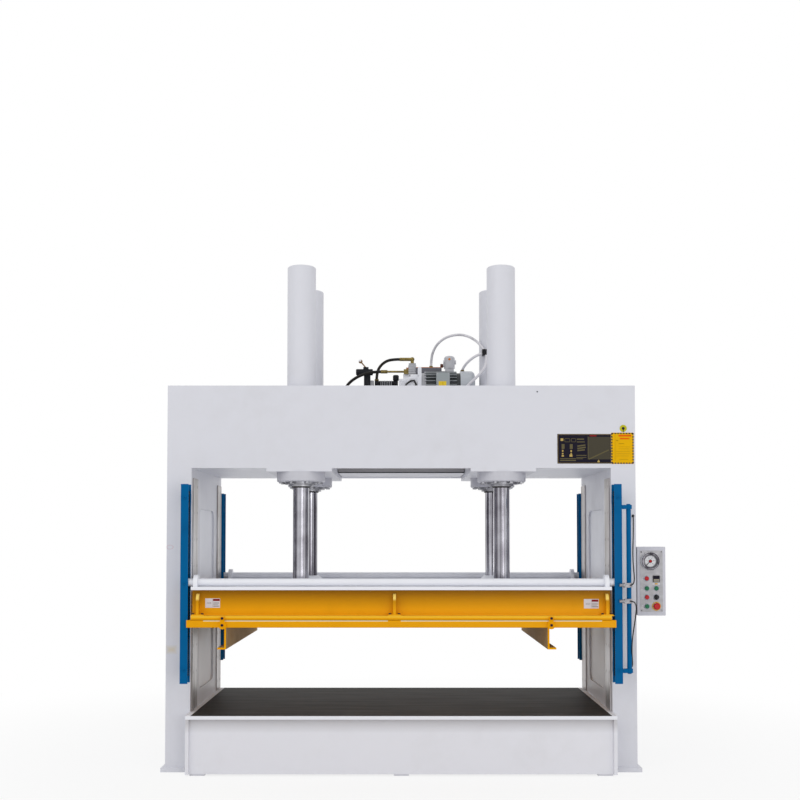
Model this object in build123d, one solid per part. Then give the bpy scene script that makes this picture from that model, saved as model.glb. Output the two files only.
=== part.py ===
from build123d import *
import math
import os

# Four-cylinder, long-stroke cold press for panels.
# Millimetres. +X is to the right of the operator, +Y is away from the operator, +Z is up.
# The origin is on the floor under the centre of the table.

# Table
TABLE_LENGTH = 2564.0
TABLE_DEPTH = 1250.0
TABLE_HEIGHT = 360.0
TABLE_PLATE = 22.0
TABLE_SIDE_PLATE = 20.0
TABLE_WALL = 12.0
TABLE_RECESS = 24.0
TABLE_FOOT = 12.0
TABLE_FOOT_SIZE = 90.0

# Portal frame
POST_WIDTH = 150.0
POST_DEPTH = 225.0
POST_WALL = 12.0
FRAME_FRONT = -475.0
FRAME_REAR = 615.0
FRAME_TOP = 2350.0
BEAM_UNDERSIDE = 1843.0
BEAM_WEB = 20.0
BEAM_FLANGE = 35.0
BEAM_FLANGE_PLATE = 20.0
BEAM_RIB = 12.0
BEAM_RIB_GAP = 220.0
BASE_PLATE = 25.0
BASE_OVERHANG = 15.0
BASE_SIDE = 25.0
SIDE_WALL = 12.0
END_PLATE = 20.0
ACCESS_LOW = 460.0
ACCESS_HIGH = 1600.0
ACCESS_FRONT = -200.0
ACCESS_REAR = 330.0
ACCESS_CORNER = 60.0
COVER_LAP = 25.0
COVER_PLATE = 3.0

# Wear strips that the platen runs past, bolted to the posts
STRIP_PLATE = 8.0
STRIP_WIDTH = 150.0
STRIP_FLOOR_GAP = 5.0
STRIP_HEAD_GAP = 59.0
STRIP_INSET = 30.0

# Cylinders and their carriers
CYLINDER_X = 625.0
CYLINDER_Y = 335.0
CYLINDER_BORE = 150.0
CYLINDER_WALL = 14.0
CYLINDER_TOP = 3113.0
CYLINDER_CAP = 30.0
CARRIER_WIDTH = 400.0
CARRIER_PLATE = 20.0
CARRIER_WEB = 15.0
CARRIER_CLEARANCE = 1.0
FLANGE_DIAMETER = 300.0
FLANGE_THICKNESS = 60.0
GLAND_DIAMETER = 200.0
GLAND_DEPTH = 27.0
FLANGE_BOLTS = 8
FLANGE_BOLT_CIRCLE = 256.0
BOLT_ACROSS_FLATS = 24.0
BOLT_HEAD = 10.0

# Piston rods
ROD_DIAMETER = 100.0
ROD_CLEARANCE = 0.05
PISTON_CLEARANCE = 0.05
PISTON_LENGTH = 60.0
PISTON_TOP = 2500.0
ROD_FOOT_DIAMETER = 165.0
ROD_FOOT_HEIGHT = 36.0

# Platen
PLATEN_DEPTH = 1400.0
PRESS_PLATE_GAP = 32.0
PRESS_PLATE_LOW = 887.0
PRESS_PLATE = 44.0
LIP_GAP = 17.0
LIP_DEPTH = 20.0
BEAM_GAP = 43.0
PLATEN_GAP = 3.0
PLATEN_FLANGE = 22.0
PLATEN_FLANGE_DEPTH = 110.0
PLATEN_WEB = 12.0
PLATEN_WEB_RECESS = 52.0
PLATEN_RIB = 12.0
PLATEN_TOP_LOW = 1108.0
PLATEN_TOP_PLATE = 19.0
GUSSET_PLATE = 16.0
GUSSET_LEFT_INSET = 37.0
GUSSET_MIDDLE_X = -40.0
GUSSET_RIGHT_INSET = 24.0
GUSSET_FOOT = 83.0
GUSSET_FOOT_PLATE = 9.0

# Rails that hang under the platen and carry loose packing boards
RAIL_LEFT_INSET = 219.0
RAIL_RIGHT_INSET = 389.0
RAIL_HEIGHT = 127.0
RAIL_FOOT = 50.0
RAIL_PLATE = 10.0
RAIL_CLAMP = 48.0
RAIL_CLAMP_PLATE = 12.0
RAIL_CLAMP_SHIFT = 20.0

# Levelling gear: racks on the frame, and pinions on two shafts that ride on the platen
MODULE = 4.0
PINION_TEETH = 12
PINION_WIDTH = 30.0
PINION_INSET = 5.0
PINION_ADDENDUM = 1.0
PINION_DEDENDUM = 0.9
RACK_ADDENDUM = 0.7
RACK_DEDENDUM = 1.2
TOOTH_BACKLASH = 0.35
PRESSURE_ANGLE = 20.0
RACK_BACK = 11.0
RACK_WIDTH = 26.0
RACK_LENGTH = 1100.0
HOUSING_SETBACK = 25.0
HOUSING_DEPTH = 80.0
HOUSING_OVERLAP = 21.0
HOUSING_WIDTH = 47.0
HOUSING_WALL = 5.0
HOUSING_LOW = 555.0
HOUSING_LENGTH = 1180.0
STANDOFF_HEIGHT = 60.0
STANDOFF_PLATE = 12.0
STANDOFF_GAP = 2.0
STANDOFF_INSET = 80.0
SHAFT_DIAMETER = 45.0
SHAFT_LIFT = 25.0
SHAFT_CLEARANCE = 0.05
SPIGOT_PROUD = 2.0
SPIGOT_DIAMETER = 28.0
BEARING_SETBACK = 22.0
BEARING_WIDTH = 25.0
BEARING_RADIUS = 45.0

# Height switches on a tube beside the right-hand rack housing
SENSOR_ARM = 43.0
SENSOR_SETBACK = 25.0
SENSOR_TUBE = 28.0
SENSOR_TUBE_START = 63.0
SENSOR_TUBE_LENGTH = 993.0
SENSOR_UPPER_UP = 518.0
SENSOR_LOWER_UP = 424.0
SENSOR_DIAMETER = 18.0
SENSOR_LENGTH = 59.0
SENSOR_BRACKET = 24.0
SENSOR_ARM_DEPTH = 32.0
SENSOR_CLAMP = 26.0
SENSOR_CABLE = 7.0

# Control box on the right-hand post
BOX_STANDOFF = 6.0
BOX_WIDTH = 172.0
BOX_LOW = 943.0
BOX_HEIGHT = 419.0
BOX_DEPTH = 150.0
BOX_SHEET = 3.0
BOX_STRAP = 40.0
BOX_STRAP_INSET = 60.0
PANEL_WIDTH = 138.0
PANEL_HEIGHT = 372.0
PANEL_SHEET = 2.0
PANEL_LIP = 9.0
GAUGE_ACROSS = 79.0
GAUGE_UP = 331.0
GAUGE_RADIUS = 56.0
GAUGE_DEPTH = 16.0
GAUGE_BACK = 6.0
GAUGE_RIM = 6.0
GAUGE_PIN = 6.0
POINTER_HUB = 20.0
POINTER_REST = 225.0
TIMER_WIDTH = 41.0
TIMER_HEIGHT = 39.0
TIMER_DEPTH = 8.0
TIMER_RIM = 5.0
LEFT_COLUMN_ACROSS = 57.0
RIGHT_COLUMN_ACROSS = 115.0
ROW_LAMP_UP = 226.0
ROW_HIGH_UP = 166.0
ROW_MIDDLE_UP = 112.0
ROW_LOW_UP = 57.0
BUTTON_DIAMETER = 26.0
BUTTON_STEM = 18.0
BUTTON_PROUD = 9.0
BUTTON_CLEARANCE = 0.3
EMERGENCY_DIAMETER = 40.0
BUTTON_TRAVEL = 4.0

# Oil tank between the cylinder carriers
TANK_GAP = 5.0
TANK_DEPTH = 463.0
TANK_UNDER = 7.0
TANK_DROP = 12.0
TANK_SHEET = 6.0
TANK_STRAP = 60.0
LID_PLATE = 8.0
LID_LAP = 10.0

# Motor, on feet on the lid, with its fan cowl at the right and the pump at the left
MOTOR_BACK = 213.0
MOTOR_HEIGHT = 112.0
MOTOR_LEFT = 133.0
MOTOR_LENGTH = 270.0
MOTOR_RADIUS = 92.0
MOTOR_WALL = 10.0
MOTOR_END_WALL = 12.0
MOTOR_FIN = 12.0
MOTOR_FIN_PLATE = 4.0
MOTOR_FIN_STOP = 25.0
MOTOR_FINS = 24
MOTOR_FOOT_INSET = 55.0
MOTOR_FOOT_WIDTH = 40.0
MOTOR_FOOT_DEPTH = 190.0
MOTOR_FOOT_PLATE = 14.0
MOTOR_RISE_DEPTH = 120.0
COWL_LENGTH = 100.0
COWL_RADIUS = 106.0
COWL_ROUND = 30.0
COWL_SHEET = 3.0
COWL_RING = 8.0
COWL_SLOTS = 12
COWL_SLOT_WIDTH = 8.0
ROTOR_SHAFT = 28.0
ROTOR_CORE = 110.0
ROTOR_CORE_GAP = 45.0
ROTOR_OVERHANG = 60.0
FAN_HUB = 60.0
FAN_HUB_START = 30.0
FAN_HUB_LENGTH = 24.0
FAN_BLADES = 6
FAN_BLADE = 40.0
TERMINAL_START = 104.0
TERMINAL_WIDTH = 90.0
TERMINAL_HEIGHT = 95.0
TERMINAL_DEPTH = 56.0
TERMINAL_DROP = 20.0
TERMINAL_GAP = 3.0
BELL_LENGTH = 70.0
BELL_WALL = 12.0
PUMP_LENGTH = 80.0
PUMP_WIDTH = 90.0
PUMP_HEIGHT = 100.0
PUMP_ROUND = 20.0
PORT_SIZE = 32.0
PORT_COLUMN = 40.0
PRESSURE_PORT_HEIGHT = 210.0

# Valve block with its solenoid valve, at the left of the lid
VALVE_BLOCK_LEFT = -190.0
VALVE_BLOCK_LENGTH = 160.0
VALVE_BLOCK_DEPTH = 100.0
VALVE_BLOCK_HEIGHT = 120.0
VALVE_BLOCK_BACK = 333.0
SOLENOID_START = 40.0
SOLENOID_LENGTH = 90.0
SOLENOID_DEPTH = 70.0
SOLENOID_HEIGHT = 45.0
COIL_DIAMETER = 44.0
COIL_LENGTH = 36.0
COIL_RISE = 28.0
COOLING_SLOTS = 4
COOLING_SLOT = 8.0
COOLING_PITCH = 22.0
HOSE_PORT_START = 18.0
HOSE_PORT_DIAMETER = 26.0
HOSE_PORT_HEIGHT = 52.0

# Hand valve on a post of its own
HAND_VALVE_X = -235.0
HAND_VALVE_BACK = 233.0
HAND_VALVE_HEIGHT = 215.0
HAND_VALVE_POST = 44.0
HAND_VALVE_LEFT = 77.0
HAND_VALVE_RIGHT = 39.0
LEVER_OFFSET = -9.0
LEVER_RISE = 30.5
LEVER_TURN = 130.0
LEVER_LENGTH = 58.0
LEVER_WIDTH = 9.0
LEVER_PLATE = 7.0
LEVER_HUB = 14.0
LEVER_BALL = 28.0
YOKE_WIDTH = 36.0
YOKE_DEPTH = 28.0
YOKE_HEIGHT = 34.0
YOKE_SLOT = 10.0
YOKE_SLOT_DEPTH = 12.0

# Manifold with its filter block, and the pressure valve beside it
MANIFOLD_BACK = 368.0
MANIFOLD_LEFT = 102.0
MANIFOLD_LENGTH = 180.0
MANIFOLD_DEPTH = 80.0
MANIFOLD_HEIGHT = 261.0
GROOVES = 5
GROOVE_WIDTH = 6.0
GROOVE_DEPTH = 4.0
GROOVE_PITCH = 30.0
GROOVE_START = 40.0
FILTER_LENGTH = 50.0
FILTER_DEPTH = 60.0
FILTER_ABOVE = 34.0
FILTER_BELOW = 70.0
RELIEF_GAP = 56.0
RELIEF_STEM = 60.0
RELIEF_CAP = 76.0
RELIEF_CAP_HEIGHT = 88.0
RELIEF_CAP_ROUND = 20.0
RELIEF_ARM = 30.0
RELIEF_ARM_RISE = 45.0
RELIEF_ARM_LEFT = 43.0
RELIEF_ARM_RIGHT = 46.0
RELIEF_NOSE = 18.0
RELIEF_NOSE_LENGTH = 44.0
RELIEF_BRIDGE = 40.0
KNOB_RISE = 20.0
KNOB_DIAMETER = 28.0
KNOB_LENGTH = 20.0
KNOB_GAP = 0.5

# Pipes and their fittings
HOSE_DIAMETER = 20.0
PIPE_DIAMETER = 14.0
CONDUIT_DIAMETER = 18.0
FERRULE_WALL = 2.0
FERRULE_LENGTH = 45.0
UNION_DIAMETER = 30.0
GLAND_NUT = 26.0
CABLE_GLAND = 16.0
ELBOW_PIPE = 24.0
ELBOW_BALL = 32.0
PLUG_DIAMETER = 26.0
PLUG_LENGTH = 18.0
SADDLE_HEIGHT = 40.0
JUNCTION = (570.0, 250.0, 2680.0)
JUNCTION_SIZE = 40.0

# Routes of the hoses, conduits and cables
UPPER_HOSE = [
    (-172, 455, 2527),
    (-171, 457, 2571),
    (-152, 462, 2617),
    (-117, 470, 2652),
    (-71, 478, 2671),
    (-12, 485, 2673),
]
LOWER_HOSE = [
    (-396, 266, 2366),
    (-391, 268, 2424),
    (-356, 274, 2478),
    (-300, 282, 2520),
    (-234, 290, 2546),
    (-186, 294, 2554),
    (-140, 296, 2556),
]
FIRST_CONDUIT = [
    (209, 485, 2625),
    (211, 483, 2680),
    (224, 474, 2732),
    (258, 452, 2784),
    (316, 418, 2820),
    (394, 378, 2830),
    (462, 338, 2810),
    (516, 300, 2768),
    (548, 268, 2726),
    (562, 252, 2700),
]
SECOND_CONDUIT = [
    (550, 244, 2672),
    (522, 246, 2664),
    (488, 256, 2646),
    (454, 278, 2620),
    (430, 306, 2594),
    (420, 328, 2572),
]
THIRD_CONDUIT = [
    (577, 236, 2660),
    (579, 230, 2622),
    (568, 224, 2576),
    (536, 216, 2532),
    (494, 206, 2490),
    (446, 199, 2446),
    (412, 196, 2400),
    (402, 195, 2354),
]
UPPER_CABLE = [
    (1346, -685, 1136),
    (1366, -685, 1136),
    (1382, -684, 1151),
    (1388, -682, 1173),
    (1387, -676, 1213),
    (1386, -660, 1283),
    (1393, -628, 1358),
    (1404, -584, 1434),
    (1411, -538, 1500),
    (1414, -504, 1536),
    (1414, -481, 1550),
]
LOWER_CABLE = [
    (1346, -685, 1042),
    (1366, -685, 1042),
    (1381, -685, 1029),
    (1388, -685, 1008),
    (1388, -686, 966),
    (1380, -687, 894),
    (1370, -684, 820),
    (1368, -672, 752),
    (1378, -640, 694),
    (1387, -594, 656),
    (1390, -540, 638),
    (1390, -481, 632),
]

# Values that follow from the ones above
HALF_TABLE = TABLE_LENGTH / 2
HALF_FRAME = HALF_TABLE + POST_WIDTH
STRIP_LOW = TABLE_HEIGHT + STRIP_FLOOR_GAP
STRIP_HIGH = BEAM_UNDERSIDE - STRIP_HEAD_GAP
HALF_PRESS_PLATE = HALF_TABLE - PRESS_PLATE_GAP
HALF_LIP = HALF_TABLE - LIP_GAP
HALF_BEAM = HALF_TABLE - BEAM_GAP
PRESS_TOP = PRESS_PLATE_LOW + PRESS_PLATE
PLATEN_TOP = PLATEN_TOP_LOW + PLATEN_TOP_PLATE
PLATEN_FRONT = -PLATEN_DEPTH / 2
GUSSET_X = (GUSSET_LEFT_INSET - HALF_BEAM, GUSSET_MIDDLE_X, HALF_BEAM - GUSSET_RIGHT_INSET)
RAILS = ((RAIL_LEFT_INSET - HALF_PRESS_PLATE, -1), (HALF_PRESS_PLATE - RAIL_RIGHT_INSET, 1))
CARRIER_BOTTOM = BEAM_UNDERSIDE - CARRIER_PLATE
FLANGE_BOTTOM = CARRIER_BOTTOM - FLANGE_THICKNESS
GLAND_BOTTOM = FLANGE_BOTTOM - GLAND_DEPTH
CYLINDER_RADIUS = CYLINDER_BORE / 2 + CYLINDER_WALL
PITCH_RADIUS = MODULE * PINION_TEETH / 2
HOUSING_FRONT = PLATEN_FRONT + HOUSING_SETBACK
HOUSING_BACK = HOUSING_FRONT + HOUSING_DEPTH
HOUSING_INNER_X = HALF_TABLE - HOUSING_OVERLAP
HOUSING_OUTER_X = HOUSING_INNER_X + HOUSING_WIDTH
HOUSING_HIGH = HOUSING_LOW + HOUSING_LENGTH
RACK_PITCH_LINE = RACK_BACK + RACK_DEDENDUM * MODULE
SHAFT_FRONT_Y = HOUSING_BACK - HOUSING_WALL - RACK_PITCH_LINE - PITCH_RADIUS
SHAFT_REAR_Y = FRAME_REAR + HOUSING_WALL + RACK_PITCH_LINE + PITCH_RADIUS
SHAFT_Z = PLATEN_TOP + SHAFT_LIFT
SHAFT_END = HOUSING_INNER_X + PINION_INSET + PINION_WIDTH + SPIGOT_PROUD
BEARING_X = HALF_BEAM - BEARING_SETBACK
SENSOR_TUBE_X = HOUSING_OUTER_X + SENSOR_ARM
SENSOR_TUBE_Y = HOUSING_FRONT + SENSOR_SETBACK
SENSOR_TUBE_LOW = HOUSING_LOW + SENSOR_TUBE_START
SENSOR_TUBE_HIGH = SENSOR_TUBE_LOW + SENSOR_TUBE_LENGTH
SENSOR_HEIGHTS = (SENSOR_TUBE_LOW + SENSOR_UPPER_UP, SENSOR_TUBE_LOW + SENSOR_LOWER_UP)
BOX_X = HALF_FRAME + BOX_STANDOFF
BOX_HIGH = BOX_LOW + BOX_HEIGHT
PANEL_FRONT = FRAME_FRONT - PANEL_SHEET
GAUGE_X = BOX_X + GAUGE_ACROSS
GAUGE_Z = BOX_LOW + GAUGE_UP
LEFT_COLUMN = BOX_X + LEFT_COLUMN_ACROSS
RIGHT_COLUMN = BOX_X + RIGHT_COLUMN_ACROSS
ROW_LAMP = BOX_LOW + ROW_LAMP_UP
BUTTON_PLACES = {
    "upper_left_button": (LEFT_COLUMN, BOX_LOW + ROW_HIGH_UP),
    "upper_right_button": (RIGHT_COLUMN, BOX_LOW + ROW_HIGH_UP),
    "stop_button": (LEFT_COLUMN, BOX_LOW + ROW_MIDDLE_UP),
    "lower_left_button": (LEFT_COLUMN, BOX_LOW + ROW_LOW_UP),
    "selector_knob": (RIGHT_COLUMN, BOX_LOW + ROW_MIDDLE_UP),
    "emergency_button": (RIGHT_COLUMN, BOX_LOW + ROW_LOW_UP),
}
CARRIER_EDGE = CYLINDER_X - CARRIER_WIDTH / 2
HALF_TANK = CARRIER_EDGE - TANK_GAP
TANK_REAR = FRAME_REAR - BEAM_FLANGE
TANK_FRONT = TANK_REAR - TANK_DEPTH
TANK_LOW = BEAM_UNDERSIDE + TANK_UNDER
TANK_TOP = FRAME_TOP - TANK_DROP
LID_TOP = TANK_TOP + LID_PLATE
MOTOR_Y = TANK_FRONT + MOTOR_BACK
MOTOR_Z = LID_TOP + MOTOR_HEIGHT
MOTOR_RIGHT = MOTOR_LEFT + MOTOR_LENGTH
MOTOR_FACE = MOTOR_Y - MOTOR_RADIUS - 2
TERMINAL_LEFT = MOTOR_LEFT + TERMINAL_START
TERMINAL_RIGHT = TERMINAL_LEFT + TERMINAL_WIDTH
TERMINAL_LOW = MOTOR_Z - TERMINAL_DROP
TERMINAL_HIGH = TERMINAL_LOW + TERMINAL_HEIGHT
BELL_LEFT = MOTOR_LEFT - BELL_LENGTH
PRESSURE_PORT_Z = LID_TOP + PRESSURE_PORT_HEIGHT
VALVE_BLOCK_Y = TANK_FRONT + VALVE_BLOCK_BACK
VALVE_BLOCK_TOP = LID_TOP + VALVE_BLOCK_HEIGHT
HOSE_PORT_X = VALVE_BLOCK_LEFT + HOSE_PORT_START
HOSE_PORT_Y = VALVE_BLOCK_Y + 5
HOSE_PORT_TOP = VALVE_BLOCK_TOP + HOSE_PORT_HEIGHT
HAND_VALVE_Y = TANK_FRONT + HAND_VALVE_BACK
HAND_VALVE_Z = LID_TOP + HAND_VALVE_HEIGHT
LEVER_X = HAND_VALVE_X + LEVER_OFFSET
LEVER_Z = HAND_VALVE_Z + LEVER_RISE
MANIFOLD_Y = TANK_FRONT + MANIFOLD_BACK
MANIFOLD_RIGHT = MANIFOLD_LEFT + MANIFOLD_LENGTH
MANIFOLD_TOP = LID_TOP + MANIFOLD_HEIGHT
FILTER_TOP = MANIFOLD_TOP + FILTER_ABOVE
RELIEF_X = MANIFOLD_RIGHT + RELIEF_GAP
KNOB_Z = MANIFOLD_TOP + KNOB_RISE

os.makedirs("parts", exist_ok=True)


def block(x0, x1, y0, y1, z0, z1):
    """A rectangular block between two opposite corners."""
    size = (abs(x1 - x0), abs(y1 - y0), abs(z1 - z0))
    return Pos((x0 + x1) / 2, (y0 + y1) / 2, (z0 + z1) / 2) * Box(*size)


def rod_z(x, y, z0, z1, diameter):
    """An upright round bar."""
    return Pos(x, y, (z0 + z1) / 2) * Cylinder(diameter / 2, z1 - z0)


def rod_y(x, z, y0, y1, diameter):
    """A round bar that runs front to rear."""
    return Pos(x, (y0 + y1) / 2, z) * Rot(90, 0, 0) * Cylinder(diameter / 2, y1 - y0)


def rod_x(y, z, x0, x1, diameter):
    """A round bar that runs left to right."""
    return Pos((x0 + x1) / 2, y, z) * Rot(0, 90, 0) * Cylinder(diameter / 2, x1 - x0)


def hexagon(across, height):
    """A hexagonal bolt head, standing on its base at the origin."""
    return extrude(RegularPolygon(across / 2, 6, major_radius=False), height)


def group(pieces):
    """Separate pieces that share one node."""
    return Compound(children=list(pieces))


def save(name, shape):
    export_step(shape, f"parts/{name}.step")


def mirrored(shape):
    """The same piece on the other side of the machine's centre plane."""
    return mirror(shape, Plane.YZ)


def side_frame():
    """Right-hand side weldment: two box posts, the wall between them and the base plate."""
    inner, outer = HALF_TABLE, HALF_FRAME
    rear_front = FRAME_REAR - POST_DEPTH
    body = block(inner, outer + BASE_SIDE, FRAME_FRONT - BASE_OVERHANG,
                 FRAME_REAR + BASE_OVERHANG, 0, BASE_PLATE)
    for y0 in (FRAME_FRONT, rear_front):
        post = block(inner, outer, y0, y0 + POST_DEPTH, BASE_PLATE, BEAM_UNDERSIDE)
        hollow = block(inner + POST_WALL, outer - POST_WALL, y0 + POST_WALL,
                       y0 + POST_DEPTH - POST_WALL, BASE_PLATE, BEAM_UNDERSIDE)
        body += post - hollow
    wall = block(inner, inner + SIDE_WALL, FRAME_FRONT + POST_DEPTH, rear_front,
                 BASE_PLATE, BEAM_UNDERSIDE)
    opening = block(inner, inner + SIDE_WALL, ACCESS_FRONT, ACCESS_REAR, ACCESS_LOW, ACCESS_HIGH)
    opening = fillet(opening.edges().filter_by(Axis.X), ACCESS_CORNER)
    return body + (wall - opening)


def access_cover():
    """Right-hand sheet cover, screwed to the outside of the wall over its opening."""
    x = HALF_TABLE + SIDE_WALL
    cover = block(x, x + COVER_PLATE, ACCESS_FRONT - COVER_LAP, ACCESS_REAR + COVER_LAP,
                  ACCESS_LOW - COVER_LAP, ACCESS_HIGH + COVER_LAP)
    return fillet(cover.edges().filter_by(Axis.X), ACCESS_CORNER)


def guide_strips():
    """Four flat wear strips on the inner faces of the posts."""
    strips = []
    for side in (-1, 1):
        for y0 in (FRAME_FRONT + STRIP_INSET, FRAME_REAR - STRIP_INSET - STRIP_WIDTH):
            strip = block(side * HALF_TABLE, side * (HALF_TABLE - STRIP_PLATE), y0,
                          y0 + STRIP_WIDTH, STRIP_LOW, STRIP_HIGH)
            strips.append(chamfer(strip.edges().filter_by(Axis.Y), 2))
    return group(strips)


def head_beam(face, inward):
    """A channel-section beam across the top; inward is +1 at the front and -1 at the rear."""
    back = face + inward * BEAM_FLANGE
    beam = block(-HALF_FRAME, HALF_FRAME, face, back, BEAM_UNDERSIDE, FRAME_TOP)
    pocket_low = BEAM_UNDERSIDE + BEAM_FLANGE_PLATE
    pocket_high = FRAME_TOP - BEAM_FLANGE_PLATE
    pocket = block(-HALF_FRAME, HALF_FRAME, face + inward * BEAM_WEB, back, pocket_low, pocket_high)
    beam -= pocket
    outer_edge = CYLINDER_X + CARRIER_WIDTH / 2
    for x in (-outer_edge - BEAM_RIB_GAP, BEAM_RIB_GAP - CARRIER_EDGE,
              CARRIER_EDGE - BEAM_RIB_GAP, outer_edge + BEAM_RIB_GAP):
        beam += block(x - BEAM_RIB / 2, x + BEAM_RIB / 2, face + inward * BEAM_WEB, back,
                      pocket_low, pocket_high)
    return beam


def soffit():
    """Right-hand soffit plate with the plate that closes the end of the head."""
    x0 = CYLINDER_X + CARRIER_WIDTH / 2
    y0, y1 = FRAME_FRONT + BEAM_FLANGE, FRAME_REAR - BEAM_FLANGE
    low = block(x0, HALF_FRAME, y0, y1, BEAM_UNDERSIDE, BEAM_UNDERSIDE + BEAM_FLANGE_PLATE)
    end = block(HALF_FRAME - END_PLATE, HALF_FRAME, y0, y1, BEAM_UNDERSIDE, FRAME_TOP)
    return low + end


def cylinder_carrier():
    """Right-hand box girder between the beams, bored for two cylinders."""
    x0, x1 = CYLINDER_X - CARRIER_WIDTH / 2, CYLINDER_X + CARRIER_WIDTH / 2
    y0, y1 = FRAME_FRONT + BEAM_FLANGE, FRAME_REAR - BEAM_FLANGE
    girder = block(x0, x1, y0, y1, BEAM_UNDERSIDE, FRAME_TOP)
    girder -= block(x0 + CARRIER_WEB, x1 - CARRIER_WEB, y0, y1, BEAM_UNDERSIDE,
                    FRAME_TOP - CARRIER_PLATE)
    girder += block(x0, x1, FRAME_FRONT, FRAME_REAR, CARRIER_BOTTOM, BEAM_UNDERSIDE)
    for y in (-CYLINDER_Y, CYLINDER_Y):
        girder -= rod_z(CYLINDER_X, y, CARRIER_BOTTOM, FRAME_TOP,
                        2 * (CYLINDER_RADIUS + CARRIER_CLEARANCE))
    return girder


def cylinder_tube(x, y):
    """One cylinder: tube, welded end cap and mounting flange, turned about its own axis."""
    r_out, r_in = CYLINDER_RADIUS, CYLINDER_BORE / 2
    r_flange = FLANGE_DIAMETER / 2
    edge = 6.0
    with BuildPart() as tube:
        with BuildSketch(Plane.XZ):
            with BuildLine():
                Polyline(
                    (r_in, FLANGE_BOTTOM),
                    (r_flange - edge, FLANGE_BOTTOM),
                    (r_flange, FLANGE_BOTTOM + edge),
                    (r_flange, CARRIER_BOTTOM),
                    (r_out, CARRIER_BOTTOM),
                    (r_out, CYLINDER_TOP - edge),
                    (r_out - edge, CYLINDER_TOP),
                    (0, CYLINDER_TOP),
                    (0, CYLINDER_TOP - CYLINDER_CAP),
                    (r_in, CYLINDER_TOP - CYLINDER_CAP),
                    close=True,
                )
            make_face()
        revolve(axis=Axis.Z)
    return Pos(x, y, 0) * tube.part


def gland_ring(x, y):
    """The gland that closes the cylinder round its rod, with a wiper lip."""
    r_rod = ROD_DIAMETER / 2 + ROD_CLEARANCE
    r_lip = ROD_DIAMETER / 2 + 25
    step = 12.0
    with BuildPart() as gland:
        with BuildSketch(Plane.XZ):
            with BuildLine():
                Polyline(
                    (r_rod, GLAND_BOTTOM),
                    (r_lip, GLAND_BOTTOM),
                    (r_lip, GLAND_BOTTOM + step),
                    (GLAND_DIAMETER / 2, GLAND_BOTTOM + step),
                    (GLAND_DIAMETER / 2, FLANGE_BOTTOM),
                    (r_rod, FLANGE_BOTTOM),
                    close=True,
                )
            make_face()
        revolve(axis=Axis.Z)
    return Pos(x, y, 0) * gland.part


def flange_bolts():
    """Bolt heads round the face of each cylinder flange."""
    head = hexagon(BOLT_ACROSS_FLATS, BOLT_HEAD)
    bolts = []
    for x in (-CYLINDER_X, CYLINDER_X):
        for y in (-CYLINDER_Y, CYLINDER_Y):
            for i in range(FLANGE_BOLTS):
                a = math.radians(360 / FLANGE_BOLTS * (i + 0.5))
                r = FLANGE_BOLT_CIRCLE / 2
                bolts.append(Pos(x + r * math.cos(a), y + r * math.sin(a),
                                 FLANGE_BOTTOM - BOLT_HEAD) * head)
    return group(bolts)


def piston_rod(x, y):
    """A chromed rod with its piston, from the platen's top plate up into the cylinder."""
    rod = rod_z(x, y, PLATEN_TOP, PISTON_TOP, ROD_DIAMETER)
    piston = rod_z(x, y, PISTON_TOP - PISTON_LENGTH, PISTON_TOP,
                   CYLINDER_BORE - 2 * PISTON_CLEARANCE)
    return rod + chamfer(piston.edges().filter_by(GeomType.CIRCLE), 3)


def rod_foot(x, y):
    """The ring that holds a rod's end to the platen, with a sloping shoulder."""
    r_in = ROD_DIAMETER / 2 + ROD_CLEARANCE
    r_out = ROD_FOOT_DIAMETER / 2
    edge = 10.0
    with BuildPart() as foot:
        with BuildSketch(Plane.XZ):
            with BuildLine():
                Polyline(
                    (r_in, PLATEN_TOP),
                    (r_out, PLATEN_TOP),
                    (r_out, PLATEN_TOP + ROD_FOOT_HEIGHT - 2 * edge),
                    (r_in + edge, PLATEN_TOP + ROD_FOOT_HEIGHT),
                    (r_in, PLATEN_TOP + ROD_FOOT_HEIGHT),
                    close=True,
                )
            make_face()
        revolve(axis=Axis.Z)
    return Pos(x, y, 0) * foot.part


def table_body():
    """The welded table: side plates, recessed front and rear panels, inner ribs and feet."""
    half_depth = TABLE_DEPTH / 2
    low, high = TABLE_FOOT, TABLE_HEIGHT - TABLE_PLATE
    body = None
    for side in (-1, 1):
        plate = block(side * (HALF_TABLE - TABLE_SIDE_PLATE), side * HALF_TABLE,
                      -half_depth, half_depth, low, high)
        body = plate if body is None else body + plate
    for side in (-1, 1):
        y = side * (half_depth - TABLE_RECESS)
        body += block(-HALF_TABLE + TABLE_SIDE_PLATE, HALF_TABLE - TABLE_SIDE_PLATE,
                      y, y - side * TABLE_WALL, low, high)
    inner = half_depth - TABLE_RECESS - TABLE_WALL
    for i in range(1, 6):
        x = -HALF_TABLE + i * TABLE_LENGTH / 6
        body += block(x - TABLE_WALL / 2, x + TABLE_WALL / 2, -inner, inner, low, high)
    s = TABLE_FOOT_SIZE / 2
    foot_x = HALF_TABLE - TABLE_SIDE_PLATE - s
    for x in (-foot_x, 0, foot_x):
        for y in (-inner + s, 0, inner - s):
            body += block(x - s, x + s, y - s, y + s, 0, low + TABLE_WALL)
    return body


def table_top():
    """The machined plate that the panels are stacked on."""
    half = TABLE_DEPTH / 2
    plate = block(-HALF_TABLE, HALF_TABLE, -half, half, TABLE_HEIGHT - TABLE_PLATE, TABLE_HEIGHT)
    return chamfer(plate.edges().group_by(Axis.Z)[-1].filter_by(Axis.X), 2)


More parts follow.
